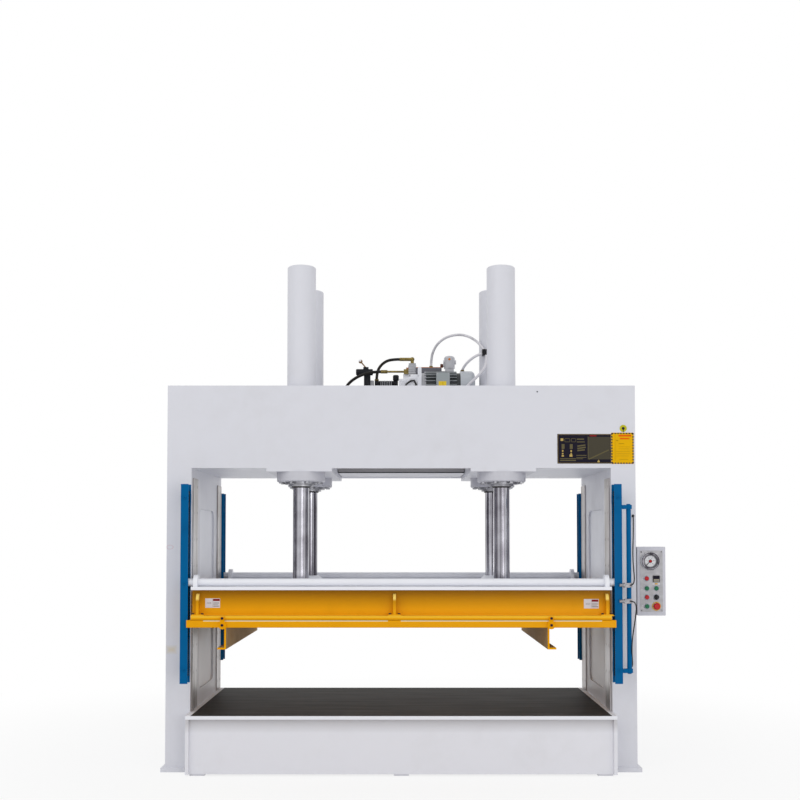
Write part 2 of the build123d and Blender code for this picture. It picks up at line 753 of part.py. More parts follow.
def gusset(x, side):
    """A rounded-top rib with its bolted foot; side is -1 at the front and +1 at the rear."""
    web = side * (-PLATEN_FRONT - PLATEN_WEB_RECESS)
    tip = side * (-PLATEN_FRONT - 6)
    z0 = PRESS_TOP + PLATEN_GAP + PLATEN_FLANGE
    z1 = PLATEN_TOP_LOW - 22
    rib = block(x - GUSSET_PLATE / 2, x + GUSSET_PLATE / 2, web, tip, z0, z1)
    outer = rib.edges().filter_by(Axis.X).sort_by(lambda e: side * e.center().Y + e.center().Z)[-1]
    rib = fillet(outer, abs(tip - web) * 0.7)
    half, top_half = GUSSET_FOOT / 2, GUSSET_FOOT / 2 - 12
    foot = loft([
        Pos(x, (web + tip) / 2, z0) * Rectangle(2 * half, abs(tip - web)),
        Pos(x, (web + tip) / 2, z0 + GUSSET_FOOT_PLATE) * Rectangle(2 * top_half, abs(tip - web)),
    ])
    return rib + foot


def platen_frame():
    """The welded grid of the platen: long webs with flanges, cross ribs and gussets."""
    half = HALF_BEAM
    z0, z1 = PRESS_TOP + PLATEN_GAP, PLATEN_TOP_LOW
    body = None
    for side in (-1, 1):
        front = side * -PLATEN_FRONT
        web = front - side * PLATEN_WEB_RECESS
        wall = block(-half, half, web, web - side * PLATEN_WEB, z0, z1)
        body = wall if body is None else body + wall
        flange = block(-half, half, front, front - side * PLATEN_FLANGE_DEPTH, z0,
                       z0 + PLATEN_FLANGE)
        edge = flange.edges().filter_by(Axis.X).sort_by(lambda e: side * e.center().Y + e.center().Z)
        body += fillet(edge[-1], 8)
        for x in GUSSET_X:
            body += gusset(x, side)
    inner = -PLATEN_FRONT - PLATEN_WEB_RECESS - PLATEN_WEB
    low = PRESS_TOP
    for x in (-half + PLATEN_RIB / 2, -CYLINDER_X, -CYLINDER_X / 2, 0, CYLINDER_X / 2,
              CYLINDER_X, half - PLATEN_RIB / 2):
        body += block(x - PLATEN_RIB / 2, x + PLATEN_RIB / 2, -inner, inner, low, z1)
    return body


def press_plate():
    """The flat plate that presses the panels, with its bar along the front edge."""
    plate = block(-HALF_PRESS_PLATE, HALF_PRESS_PLATE, PLATEN_FRONT + LIP_DEPTH, -PLATEN_FRONT,
                  PRESS_PLATE_LOW, PRESS_TOP)
    lip = block(-HALF_LIP, HALF_LIP, PLATEN_FRONT, PLATEN_FRONT + LIP_DEPTH,
                PRESS_PLATE_LOW, PRESS_TOP)
    return plate + fillet(lip.edges().group_by(Axis.Y)[0].filter_by(Axis.X), 5)


def platen_top_plate():
    """The plate on top of the platen that the rods push on."""
    plate = block(-HALF_BEAM, HALF_BEAM, PLATEN_FRONT, -PLATEN_FRONT, PLATEN_TOP_LOW, PLATEN_TOP)
    return chamfer(plate.edges().group_by(Axis.Z)[-1].filter_by(Axis.X), 3)


def hanging_rail(x, side):
    """An angle that runs front to rear under the platen, its foot pointing outward."""
    z0 = PRESS_PLATE_LOW - RAIL_HEIGHT
    y0, y1 = PLATEN_FRONT, -PLATEN_FRONT
    web = block(x, x + side * RAIL_PLATE, y0, y1, z0, PRESS_PLATE_LOW)
    foot = block(x, x + side * RAIL_FOOT, y0, y1, z0, z0 + RAIL_PLATE)
    return web + foot


def rail_clamp(x):
    """A round-cornered clamp bolted to the front of the platen above a rail's end."""
    r = RAIL_CLAMP / 2
    y0, y1 = PLATEN_FRONT - RAIL_CLAMP_PLATE, PLATEN_FRONT
    z = PRESS_PLATE_LOW + PRESS_PLATE / 2 - 6
    clamp = rod_y(x, z, y0, y1, RAIL_CLAMP)
    clamp += block(x - r * 0.55, x + r * 0.55, y0, y1, z, PRESS_TOP + PLATEN_GAP + 18)
    head = Rot(90, 0, 0) * hexagon(16, 6)
    for dz in (0, PRESS_PLATE / 2 + 18):
        clamp += Pos(x, y0, z + dz) * head
    return clamp


def rack_housing(y0):
    """Right-hand channel that stands upright, open towards the platen, and covers a rack."""
    x0, x1 = HOUSING_INNER_X, HOUSING_OUTER_X
    channel = block(x0, x1, y0, y0 + HOUSING_DEPTH, HOUSING_LOW, HOUSING_HIGH)
    channel = fillet(channel.edges().filter_by(Axis.Z).group_by(Axis.X)[-1], 6)
    return channel - block(x0, x1 - HOUSING_WALL, y0 + HOUSING_WALL,
                           y0 + HOUSING_DEPTH - HOUSING_WALL, HOUSING_LOW, HOUSING_HIGH)


def rack(back, facing):
    """Right-hand rack: straight-sided teeth on a bar whose back is at y = back."""
    pitch = math.pi * MODULE
    slope = math.tan(math.radians(PRESSURE_ANGLE))
    half_thick = pitch / 4 - TOOTH_BACKLASH / 2
    tip_half = half_thick - RACK_ADDENDUM * MODULE * slope
    root_half = half_thick + RACK_DEDENDUM * MODULE * slope
    line = back + facing * RACK_PITCH_LINE
    tip = line + facing * RACK_ADDENDUM * MODULE
    root = line - facing * RACK_DEDENDUM * MODULE
    low = (HOUSING_LOW + HOUSING_HIGH - RACK_LENGTH) / 2
    high = low + RACK_LENGTH
    first = math.ceil((low - SHAFT_Z) / pitch + 0.5)
    last = math.floor((high - SHAFT_Z) / pitch - 0.5)
    points = [(back, low), (root, low)]
    for i in range(first, last + 1):
        z = SHAFT_Z + i * pitch
        points += [(root, z - root_half), (tip, z - tip_half), (tip, z + tip_half),
                   (root, z + root_half)]
    points += [(root, high), (back, high)]
    x0 = HOUSING_INNER_X + PINION_INSET + 1
    with BuildPart() as bar:
        with BuildSketch(Plane.YZ.offset(x0)):
            with BuildLine():
                Polyline(*points, close=True)
            make_face()
        extrude(amount=RACK_WIDTH)
    return bar.part


def involute_point(base, radius, turn):
    """A point of an involute at a given radius, turned about the pinion's axis."""
    t = math.sqrt(max((radius / base) ** 2 - 1, 0))
    angle = t - math.atan(t) + turn
    return radius * math.cos(angle), radius * math.sin(angle)


def pinion_face():
    """The outline of a pinion with involute flanks and a gap on each side of its rack line."""
    base = PITCH_RADIUS * math.cos(math.radians(PRESSURE_ANGLE))
    root = PITCH_RADIUS - PINION_DEDENDUM * MODULE
    outer = PITCH_RADIUS + PINION_ADDENDUM * MODULE
    a = math.radians(PRESSURE_ANGLE)
    half = math.pi / 2 / PINION_TEETH - TOOTH_BACKLASH / 2 / PITCH_RADIUS
    turn = half + math.tan(a) - a
    radii = [base + (outer - base) * k / 4 for k in range(5)]
    points = []
    for i in range(PINION_TEETH):
        middle = (i + 0.5) * 2 * math.pi / PINION_TEETH
        low, high = [], []
        for r in radii:
            x, y = involute_point(base, r, -turn)
            c, s = math.cos(middle), math.sin(middle)
            low.append((x * c - y * s, x * s + y * c))
            high.append((x * c + y * s, x * s - y * c))
        foot = middle - turn, middle + turn
        points.append((root * math.cos(foot[0]), root * math.sin(foot[0])))
        points += low + high[::-1]
        points.append((root * math.cos(foot[1]), root * math.sin(foot[1])))
    return points


def pinion(y):
    """Right-hand pinion, keyed on the end of a shaft."""
    x0 = HOUSING_INNER_X + PINION_INSET
    with BuildPart() as gear:
        with BuildSketch(Plane.YZ.offset(x0)):
            with BuildLine():
                Polyline(*pinion_face(), close=True)
            make_face()
            Circle(SPIGOT_DIAMETER / 2 + SHAFT_CLEARANCE, mode=Mode.SUBTRACT)
        extrude(amount=PINION_WIDTH)
    return Pos(0, y, SHAFT_Z) * gear.part


def levelling_shaft(y):
    """A shaft that ties the two pinions of one side of the platen together."""
    shoulder = HOUSING_INNER_X + PINION_INSET
    shaft = rod_x(y, SHAFT_Z, -shoulder, shoulder, SHAFT_DIAMETER)
    for side in (-1, 1):
        ends = sorted((side * shoulder, side * SHAFT_END))
        shaft += rod_x(y, SHAFT_Z, ends[0], ends[1], SPIGOT_DIAMETER)
    return shaft


def shaft_bearing(y):
    """Right-hand bearing plate on the platen, round at the top."""
    x0, x1 = BEARING_X - BEARING_WIDTH / 2, BEARING_X + BEARING_WIDTH / 2
    plate = rod_x(y, SHAFT_Z, x0, x1, 2 * BEARING_RADIUS)
    plate += block(x0, x1, y - BEARING_RADIUS, y + BEARING_RADIUS, PLATEN_TOP, SHAFT_Z)
    plate -= block(x0, x1, y - 2 * BEARING_RADIUS, y + 2 * BEARING_RADIUS,
                   PLATEN_TOP - 2 * BEARING_RADIUS, PLATEN_TOP)
    return plate - rod_x(y, SHAFT_Z, x0, x1, SHAFT_DIAMETER + 2 * SHAFT_CLEARANCE)


def standoff(z):
    """Right-hand Z bracket between the front post and the front rack housing."""
    x0, x1 = HALF_TABLE + STANDOFF_GAP, HOUSING_OUTER_X
    low, high = z - STANDOFF_HEIGHT / 2, z + STANDOFF_HEIGHT / 2
    arm = block(x1 - STANDOFF_PLATE, x1, HOUSING_BACK, FRAME_FRONT, low, high)
    foot = block(x0, x1, FRAME_FRONT - STANDOFF_PLATE, FRAME_FRONT, low, high)
    pad = block(x0, x1, HOUSING_BACK, HOUSING_BACK + STANDOFF_PLATE, low, high)
    return arm + foot + pad


def sensor_rail():
    """The tube for the height switches and the two arms that hold it to the rack housing."""
    tube = rod_z(SENSOR_TUBE_X, SENSOR_TUBE_Y, SENSOR_TUBE_LOW, SENSOR_TUBE_HIGH, SENSOR_TUBE)
    half = SENSOR_ARM_DEPTH / 2
    for z in (SENSOR_TUBE_LOW + SENSOR_BRACKET / 2, SENSOR_TUBE_HIGH - SENSOR_BRACKET / 2):
        arm = block(HOUSING_OUTER_X, SENSOR_TUBE_X, SENSOR_TUBE_Y - half, SENSOR_TUBE_Y + half,
                    z - SENSOR_BRACKET / 2, z + SENSOR_BRACKET / 2)
        boss = rod_z(SENSOR_TUBE_X, SENSOR_TUBE_Y, z - SENSOR_BRACKET / 2,
                     z + SENSOR_BRACKET / 2, SENSOR_TUBE + 12)
        tube += arm + boss
    return tube


def height_sensor(z):
    """A barrel proximity switch in a clamp block in front of the tube."""
    tube_front = SENSOR_TUBE_Y - SENSOR_TUBE / 2
    y = tube_front - SENSOR_DIAMETER / 2 - 12
    half = SENSOR_CLAMP / 2
    x1 = SENSOR_TUBE_X - 5
    barrel = rod_x(y, z, x1 - SENSOR_LENGTH, x1, SENSOR_DIAMETER)
    clamp = block(x1 - SENSOR_CLAMP - 2, x1 - 1, y - half, tube_front, z - half, z + half)
    clamp += block(x1 - SENSOR_CLAMP - 2, SENSOR_TUBE_X + SENSOR_TUBE / 2 + 1, tube_front - 10,
                   tube_front, z - half, z + half)
    nut = Pos(x1 - SENSOR_LENGTH + 24, y, z) * Rot(0, 90, 0) * hexagon(24, 6)
    return barrel + clamp + nut


def cord_radii(points):
    """One bend radius for each inner point of a cord's route."""
    radii = []
    for a, b, c in zip(points, points[1:], points[2:]):
        first, second = Vector(*b) - Vector(*a), Vector(*c) - Vector(*b)
        turn = math.radians(first.get_angle(second))
        radii.append(0.45 * min(first.length, second.length) / math.tan(turn / 2))
    return radii


def cord(name, points, diameter):
    """A tube along straight runs joined by arcs."""
    radii = cord_radii(points)
    path = FilletPolyline(*points, radius=radii)
    start = Plane(origin=points[0], z_dir=Vector(*points[1]) - Vector(*points[0]))
    tube = sweep(start * Circle(diameter / 2), path=path)
    expected = math.pi * diameter ** 2 / 4 * path.length
    print(name, "length", round(path.length), "radii", [round(r) for r in radii],
          "least in diameters", round(min(radii) / diameter, 1),
          "volume share", round(tube.volume / expected, 4))
    return tube


def control_box():
    """The sheet-steel box on the right-hand post, open at the front behind its panel."""
    y0 = FRAME_FRONT
    x1, high = BOX_X + BOX_WIDTH, BOX_HIGH
    box = block(BOX_X, x1, y0, y0 + BOX_DEPTH, BOX_LOW, high)
    box = fillet(box.edges().filter_by(Axis.Y), 5)
    box -= block(BOX_X + BOX_SHEET, x1 - BOX_SHEET, y0 + BOX_SHEET, y0 + BOX_DEPTH - BOX_SHEET,
                 BOX_LOW + BOX_SHEET, high - BOX_SHEET)
    centre_x, centre_z = BOX_X + BOX_WIDTH / 2, BOX_LOW + BOX_HEIGHT / 2
    half_w, half_h = PANEL_WIDTH / 2 - PANEL_LIP, PANEL_HEIGHT / 2 - PANEL_LIP
    box -= block(centre_x - half_w, centre_x + half_w, y0, y0 + BOX_SHEET,
                 centre_z - half_h, centre_z + half_h)
    for z in (BOX_LOW + BOX_STRAP_INSET, high - BOX_STRAP_INSET):
        box += block(HALF_FRAME, BOX_X, y0 + BOX_STRAP / 2, y0 + BOX_DEPTH - BOX_STRAP / 2,
                     z - BOX_STRAP / 2, z + BOX_STRAP / 2)
    return box


def control_panel():
    """The flat panel with holes for the gauge and the push buttons."""
    centre_x, centre_z = BOX_X + BOX_WIDTH / 2, BOX_LOW + BOX_HEIGHT / 2
    y0 = PANEL_FRONT
    panel = block(centre_x - PANEL_WIDTH / 2, centre_x + PANEL_WIDTH / 2, y0, FRAME_FRONT,
                  centre_z - PANEL_HEIGHT / 2, centre_z + PANEL_HEIGHT / 2)
    panel = fillet(panel.edges().filter_by(Axis.Y), 4)
    for x, z in BUTTON_PLACES.values():
        panel -= rod_y(x, z, y0, FRAME_FRONT, BUTTON_STEM + 2 * BUTTON_CLEARANCE)
    return panel


def push_button(x, z):
    """A flat push button whose stem passes through the panel."""
    y = PANEL_FRONT
    cap = rod_y(x, z, y - BUTTON_TRAVEL - BUTTON_PROUD, y - BUTTON_TRAVEL - 1, BUTTON_DIAMETER)
    cap = chamfer(cap.edges().filter_by(GeomType.CIRCLE).group_by(Axis.Y)[0], 1.5)
    return cap + rod_y(x, z, y - BUTTON_TRAVEL - 1, y + 30, BUTTON_STEM)


def selector_knob():
    """A turn knob with a raised grip bar."""
    x, z = BUTTON_PLACES["selector_knob"]
    y = PANEL_FRONT - 0.5
    knob = rod_y(x, z, y - 8, y, BUTTON_DIAMETER + 4)
    grip = block(x - 4, x + 4, y - 22, y - 8, z - 14, z + 14)
    knob += fillet(grip.edges().filter_by(Axis.Y), 3)
    return knob + rod_y(x, z, y, y + 30, BUTTON_STEM)


def emergency_button():
    """A mushroom-headed stop button."""
    x, z = BUTTON_PLACES["emergency_button"]
    y = PANEL_FRONT
    head = rod_y(x, z, y - 24, y - 14, EMERGENCY_DIAMETER)
    head = fillet(head.edges().filter_by(GeomType.CIRCLE).group_by(Axis.Y)[0], 5)
    return head + rod_y(x, z, y - 14, y + 30, BUTTON_STEM)


def signal_lamp():
    """A small domed lamp."""
    y = PANEL_FRONT
    lamp = rod_y(LEFT_COLUMN, ROW_LAMP, y - 10, y, BUTTON_DIAMETER)
    return fillet(lamp.edges().filter_by(GeomType.CIRCLE).group_by(Axis.Y)[0], 4)


def timer_display():
    """The pressing timer: a shallow block with a sunk window."""
    y = PANEL_FRONT
    x, z, half_w, half_h = RIGHT_COLUMN, ROW_LAMP - 2, TIMER_WIDTH / 2, TIMER_HEIGHT / 2
    body = block(x - half_w, x + half_w, y - TIMER_DEPTH, y, z - half_h, z + half_h)
    body = fillet(body.edges().filter_by(Axis.Y), 2)
    return body - block(x - half_w + TIMER_RIM, x + half_w - TIMER_RIM, y - TIMER_DEPTH,
                        y - TIMER_DEPTH + 2, z, z + half_h - TIMER_RIM)


def gauge_case():
    """The round pressure gauge: case with a rim round a sunk dial, and a pin for the pointer."""
    y = PANEL_FRONT
    case = rod_y(GAUGE_X, GAUGE_Z, y - GAUGE_DEPTH, y, 2 * GAUGE_RADIUS)
    case = fillet(case.edges().filter_by(GeomType.CIRCLE).group_by(Axis.Y)[0], 3)
    case -= rod_y(GAUGE_X, GAUGE_Z, y - GAUGE_DEPTH, y - GAUGE_BACK,
                  2 * (GAUGE_RADIUS - GAUGE_RIM))
    return case + rod_y(GAUGE_X, GAUGE_Z, y - GAUGE_DEPTH + 2, y - GAUGE_BACK, GAUGE_PIN)


def gauge_pointer():
    """The pointer, with a hub that turns on the pin."""
    y = PANEL_FRONT - GAUGE_BACK
    hub = rod_y(GAUGE_X, GAUGE_Z, y - 5, y - 1.5, POINTER_HUB)
    a = math.radians(POINTER_REST)
    length = GAUGE_RADIUS - GAUGE_RIM - 8
    arm = Pos(GAUGE_X + math.cos(a) * length / 2, y - 3, GAUGE_Z + math.sin(a) * length / 2)
    hub += arm * Rot(0, -POINTER_REST, 0) * Box(length, 2, 3.5)
    return hub - rod_y(GAUGE_X, GAUGE_Z, y - 12, y + 1, GAUGE_PIN + 2 * SHAFT_CLEARANCE)


def oil_tank():
    """The oil tank between the cylinder carriers, open at the top under its lid."""
    tank = block(-HALF_TANK, HALF_TANK, TANK_FRONT, TANK_REAR, TANK_LOW, TANK_TOP)
    tank -= block(TANK_SHEET - HALF_TANK, HALF_TANK - TANK_SHEET, TANK_FRONT + TANK_SHEET,
                  TANK_REAR - TANK_SHEET, TANK_LOW + TANK_SHEET, TANK_TOP)
    half = TANK_STRAP / 2
    for side in (-1, 1):
        for z in (TANK_LOW + TANK_STRAP, TANK_TOP - TANK_STRAP - 20):
            tank += block(side * HALF_TANK, side * CARRIER_EDGE, TANK_FRONT + 20, TANK_REAR - 20,
                          z - half, z + half)
    return tank


def tank_lid():
    """The lid that carries the power unit."""
    return block(-HALF_TANK, HALF_TANK, TANK_FRONT - LID_LAP, TANK_REAR, TANK_TOP, LID_TOP)


def motor_fin(i):
    """One of the motor's fins, set round its axis."""
    fin = Box(MOTOR_LENGTH - 2 * MOTOR_FIN_STOP, MOTOR_FIN_PLATE, MOTOR_FIN + MOTOR_WALL / 2)
    out = MOTOR_RADIUS + MOTOR_FIN / 2 - MOTOR_WALL / 4
    axis = Pos((MOTOR_LEFT + MOTOR_RIGHT) / 2, MOTOR_Y, MOTOR_Z)
    return axis * Rot(360 / MOTOR_FINS * i, 0, 0) * Pos(0, 0, out) * fin


def motor_housing():
    """The finned motor housing on its feet, hollow for the rotor."""
    body = rod_x(MOTOR_Y, MOTOR_Z, MOTOR_LEFT, MOTOR_RIGHT, 2 * MOTOR_RADIUS)
    for i in range(MOTOR_FINS):
        body += motor_fin(i)
    half = MOTOR_FOOT_WIDTH / 2
    for x in (MOTOR_LEFT + MOTOR_FOOT_INSET, MOTOR_RIGHT - MOTOR_FOOT_INSET):
        body += block(x - half, x + half, MOTOR_Y - MOTOR_FOOT_DEPTH / 2,
                      MOTOR_Y + MOTOR_FOOT_DEPTH / 2, LID_TOP, LID_TOP + MOTOR_FOOT_PLATE)
        body += block(x - half, x + half, MOTOR_Y - MOTOR_RISE_DEPTH / 2,
                      MOTOR_Y + MOTOR_RISE_DEPTH / 2, LID_TOP, MOTOR_Z - MOTOR_RADIUS + 32)
    gap = TERMINAL_GAP
    body -= block(TERMINAL_LEFT - gap, TERMINAL_RIGHT + gap, MOTOR_FACE - TERMINAL_DEPTH,
                  MOTOR_FACE, TERMINAL_LOW - gap, TERMINAL_HIGH + gap)
    body += block(TERMINAL_LEFT + 8, TERMINAL_RIGHT - 8, MOTOR_FACE, MOTOR_Y - 40,
                  TERMINAL_LOW + 8, TERMINAL_HIGH - 8)
    body -= rod_x(MOTOR_Y, MOTOR_Z, MOTOR_LEFT + MOTOR_END_WALL, MOTOR_RIGHT - MOTOR_END_WALL,
                  2 * (MOTOR_RADIUS - MOTOR_WALL))
    return body - rod_x(MOTOR_Y, MOTOR_Z, MOTOR_LEFT, MOTOR_RIGHT,
                        ROTOR_SHAFT + 2 * SHAFT_CLEARANCE)


def fan_cowl():
    """The cowl over the motor's fan, with a ring of air slots in its end."""
    x0, x1 = MOTOR_RIGHT, MOTOR_RIGHT + COWL_LENGTH
    cowl = rod_x(MOTOR_Y, MOTOR_Z, x0, x1, 2 * COWL_RADIUS)
    cowl = fillet(cowl.edges().filter_by(GeomType.CIRCLE).group_by(Axis.X)[-1], COWL_ROUND)
    face_radius = COWL_RADIUS - COWL_ROUND
    cowl -= rod_x(MOTOR_Y, MOTOR_Z, x0, x1 - COWL_SHEET, 2 * face_radius)
    cowl -= rod_x(MOTOR_Y, MOTOR_Z, x0, x1 - COWL_ROUND - 2, 2 * (COWL_RADIUS - COWL_SHEET))
    for i in range(COWL_SLOTS):
        turn = Rot(360 / COWL_SLOTS * i, 0, 0)
        slot = Pos(0, 0, 0.6 * face_radius) * Box(2 * COWL_SHEET + 14, COWL_SLOT_WIDTH,
                                                  0.53 * face_radius)
        cowl -= Pos(x1, MOTOR_Y, MOTOR_Z) * turn * slot
    return cowl + cowl_ring(x0)


def cowl_ring(x0):
    """The narrow ring by which the cowl sits on the motor's end face."""
    ring = rod_x(MOTOR_Y, MOTOR_Z, x0, x0 + COWL_RING, 2 * (COWL_RADIUS - 1))
    return ring - rod_x(MOTOR_Y, MOTOR_Z, x0, x0 + COWL_RING, 2 * (MOTOR_RADIUS - COWL_RING))


def motor_rotor():
    """The rotor: shaft, core and fan on one axis."""
    rotor = rod_x(MOTOR_Y, MOTOR_Z, MOTOR_LEFT - ROTOR_OVERHANG / 2, MOTOR_RIGHT + ROTOR_OVERHANG,
                  ROTOR_SHAFT)
    rotor += rod_x(MOTOR_Y, MOTOR_Z, MOTOR_LEFT + ROTOR_CORE_GAP, MOTOR_RIGHT - ROTOR_CORE_GAP,
                   ROTOR_CORE)
    hub_left = MOTOR_RIGHT + FAN_HUB_START
    rotor += rod_x(MOTOR_Y, MOTOR_Z, hub_left, hub_left + FAN_HUB_LENGTH, FAN_HUB)
    axis = Pos(hub_left + FAN_HUB_LENGTH / 2, MOTOR_Y, MOTOR_Z)
    for i in range(FAN_BLADES):
        blade = Pos(0, 0, FAN_HUB / 2 + FAN_BLADE / 2 - 5) * Box(FAN_HUB_LENGTH - 2, 4, FAN_BLADE)
        rotor += axis * Rot(360 / FAN_BLADES * i, 0, 0) * blade
    return rotor


def terminal_box():
    """The motor's connection box, on the side towards the operator."""
    box = block(TERMINAL_LEFT, TERMINAL_RIGHT, MOTOR_FACE - TERMINAL_DEPTH, MOTOR_FACE,
                TERMINAL_LOW, TERMINAL_HIGH)
    return fillet(box.edges().filter_by(Axis.Y), 5)


def pump():
    """The gear pump on its bell housing, at the free end of the motor."""
    bell = rod_x(MOTOR_Y, MOTOR_Z, BELL_LEFT, MOTOR_LEFT, 2 * (MOTOR_RADIUS - 8))
    bell -= rod_x(MOTOR_Y, MOTOR_Z, BELL_LEFT + 10, MOTOR_LEFT, 2 * (MOTOR_RADIUS - 8 - BELL_WALL))
    gear_case = block(BELL_LEFT - PUMP_LENGTH, BELL_LEFT, MOTOR_Y - PUMP_WIDTH / 2,
                      MOTOR_Y + PUMP_WIDTH / 2, MOTOR_Z - PUMP_HEIGHT / 2,
                      MOTOR_Z + PUMP_HEIGHT / 2)
    gear_case = fillet(gear_case.edges().filter_by(Axis.X), PUMP_ROUND)
    half = PORT_COLUMN / 2
    x = BELL_LEFT - 30
    column = block(x - half, x + half, MOTOR_Y - half, MOTOR_Y + half,
                   MOTOR_Z + PUMP_HEIGHT / 2, PRESSURE_PORT_Z - PORT_SIZE / 2)
    return bell + gear_case + column


def valve_block():
    """The valve block on the lid, with a solenoid valve and a hose port on its top."""
    x0, x1 = VALVE_BLOCK_LEFT, VALVE_BLOCK_LEFT + VALVE_BLOCK_LENGTH
    half = VALVE_BLOCK_DEPTH / 2
    low = block(x0, x1, VALVE_BLOCK_Y - half, VALVE_BLOCK_Y + half, LID_TOP, VALVE_BLOCK_TOP)
    left = x0 + SOLENOID_START
    right = left + SOLENOID_LENGTH
    front = HOSE_PORT_Y - SOLENOID_DEPTH / 2
    top = VALVE_BLOCK_TOP + SOLENOID_HEIGHT
    body = block(left, right, front, front + SOLENOID_DEPTH, VALVE_BLOCK_TOP, top)
    for i in range(COOLING_SLOTS):
        x = left + 10 + i * COOLING_PITCH
        body -= block(x, x + COOLING_SLOT, front, front + 4, VALVE_BLOCK_TOP, top)
    z = VALVE_BLOCK_TOP + COIL_RISE
    coils = rod_x(HOSE_PORT_Y, z, left - COIL_LENGTH, left, COIL_DIAMETER)
    coils += rod_x(HOSE_PORT_Y, z, right, right + COIL_LENGTH, COIL_DIAMETER)
    port = rod_z(HOSE_PORT_X, HOSE_PORT_Y, VALVE_BLOCK_TOP, HOSE_PORT_TOP, HOSE_PORT_DIAMETER)
    return low + body + coils + port


def hand_valve():
    """A hand-operated valve on a post of its own, to the left of the valve block."""
    x, y, z, half = HAND_VALVE_X, HAND_VALVE_Y, HAND_VALVE_Z, HAND_VALVE_POST / 2
    post = block(x - half, x + half, y - half, y + half, LID_TOP, z)
    barrel = rod_x(y, z, x - HAND_VALVE_LEFT, x + HAND_VALVE_RIGHT, HAND_VALVE_POST)
    barrel = chamfer(barrel.edges().filter_by(GeomType.CIRCLE), 4)
    x0, x1, top = LEVER_X - YOKE_WIDTH / 2, LEVER_X + YOKE_WIDTH / 2, z + YOKE_HEIGHT
    yoke = block(x0, x1, y - YOKE_DEPTH / 2, y + YOKE_DEPTH / 2, z, top)
    yoke -= block(x0, x1, y - YOKE_SLOT / 2, y + YOKE_SLOT / 2, top - YOKE_SLOT_DEPTH, top)
    return post + barrel + yoke


def manifold():
    """The tall manifold behind the motor, with the filter block on its left side."""
    y0, y1 = MANIFOLD_Y - MANIFOLD_DEPTH / 2, MANIFOLD_Y + MANIFOLD_DEPTH / 2
    body = block(MANIFOLD_LEFT, MANIFOLD_RIGHT, y0, y1, LID_TOP, MANIFOLD_TOP)
    body = chamfer(body.edges().group_by(Axis.Z)[-1], 3)
    for i in range(GROOVES):
        z = MANIFOLD_TOP - GROOVE_START - i * GROOVE_PITCH
        body -= block(MANIFOLD_LEFT, MANIFOLD_RIGHT, y0, y0 + GROOVE_DEPTH,
                      z - GROOVE_WIDTH / 2, z + GROOVE_WIDTH / 2)
    filter_block = block(MANIFOLD_LEFT - FILTER_LENGTH, MANIFOLD_LEFT,
                         MANIFOLD_Y - FILTER_DEPTH / 2, MANIFOLD_Y + FILTER_DEPTH / 2,
                         MANIFOLD_TOP - FILTER_BELOW, FILTER_TOP)
    return body + fillet(filter_block.edges().filter_by(Axis.Z), 4)


def pressure_valve():
    """The bright relief valve beside the manifold, on a bracket foot of its own."""
    x, y, half = RELIEF_X, MANIFOLD_Y, RELIEF_STEM / 2
    stem = block(x - half, x + half, y - half, y + half, LID_TOP, MANIFOLD_TOP)
    cap = rod_z(x, y, MANIFOLD_TOP, MANIFOLD_TOP + RELIEF_CAP_HEIGHT, RELIEF_CAP)
    cap = fillet(cap.edges().filter_by(GeomType.CIRCLE).group_by(Axis.Z)[-1], RELIEF_CAP_ROUND)
    arm = rod_x(y, MANIFOLD_TOP + RELIEF_ARM_RISE, x - RELIEF_ARM_LEFT, x + RELIEF_ARM_RIGHT,
                RELIEF_ARM)
    nose = rod_x(y, KNOB_Z, x - RELIEF_NOSE_LENGTH, x, RELIEF_NOSE)
    half_bridge = RELIEF_BRIDGE / 2
    bridge = block(MANIFOLD_RIGHT, x - half, y - half_bridge, y + half_bridge,
                   MANIFOLD_TOP - 1.5 * RELIEF_BRIDGE, MANIFOLD_TOP - half_bridge)
    return stem + cap + arm + nose + bridge


def relief_knob():
    """The knob that sets the pressure, on the end of the valve's nose."""
    x1 = RELIEF_X - RELIEF_NOSE_LENGTH - KNOB_GAP
    knob = rod_x(MANIFOLD_Y, KNOB_Z, x1 - KNOB_LENGTH, x1, KNOB_DIAMETER)
    return fillet(knob.edges().filter_by(GeomType.CIRCLE), 5)


def hand_lever():
    """The bent lever of the hand valve with its ball."""
    y, z = HAND_VALVE_Y, LEVER_Z
    hub = rod_y(LEVER_X, z, y - LEVER_WIDTH / 2, y + LEVER_WIDTH / 2, LEVER_HUB)
    place = Pos(LEVER_X, y, z) * Rot(0, -LEVER_TURN, 0)
    arm = place * Pos(LEVER_LENGTH / 2, 0, 0) * Box(LEVER_LENGTH, LEVER_PLATE, LEVER_WIDTH)
    ball = place * Pos(LEVER_LENGTH, 0, 0) * Sphere(LEVER_BALL / 2)
    return hub + arm + ball


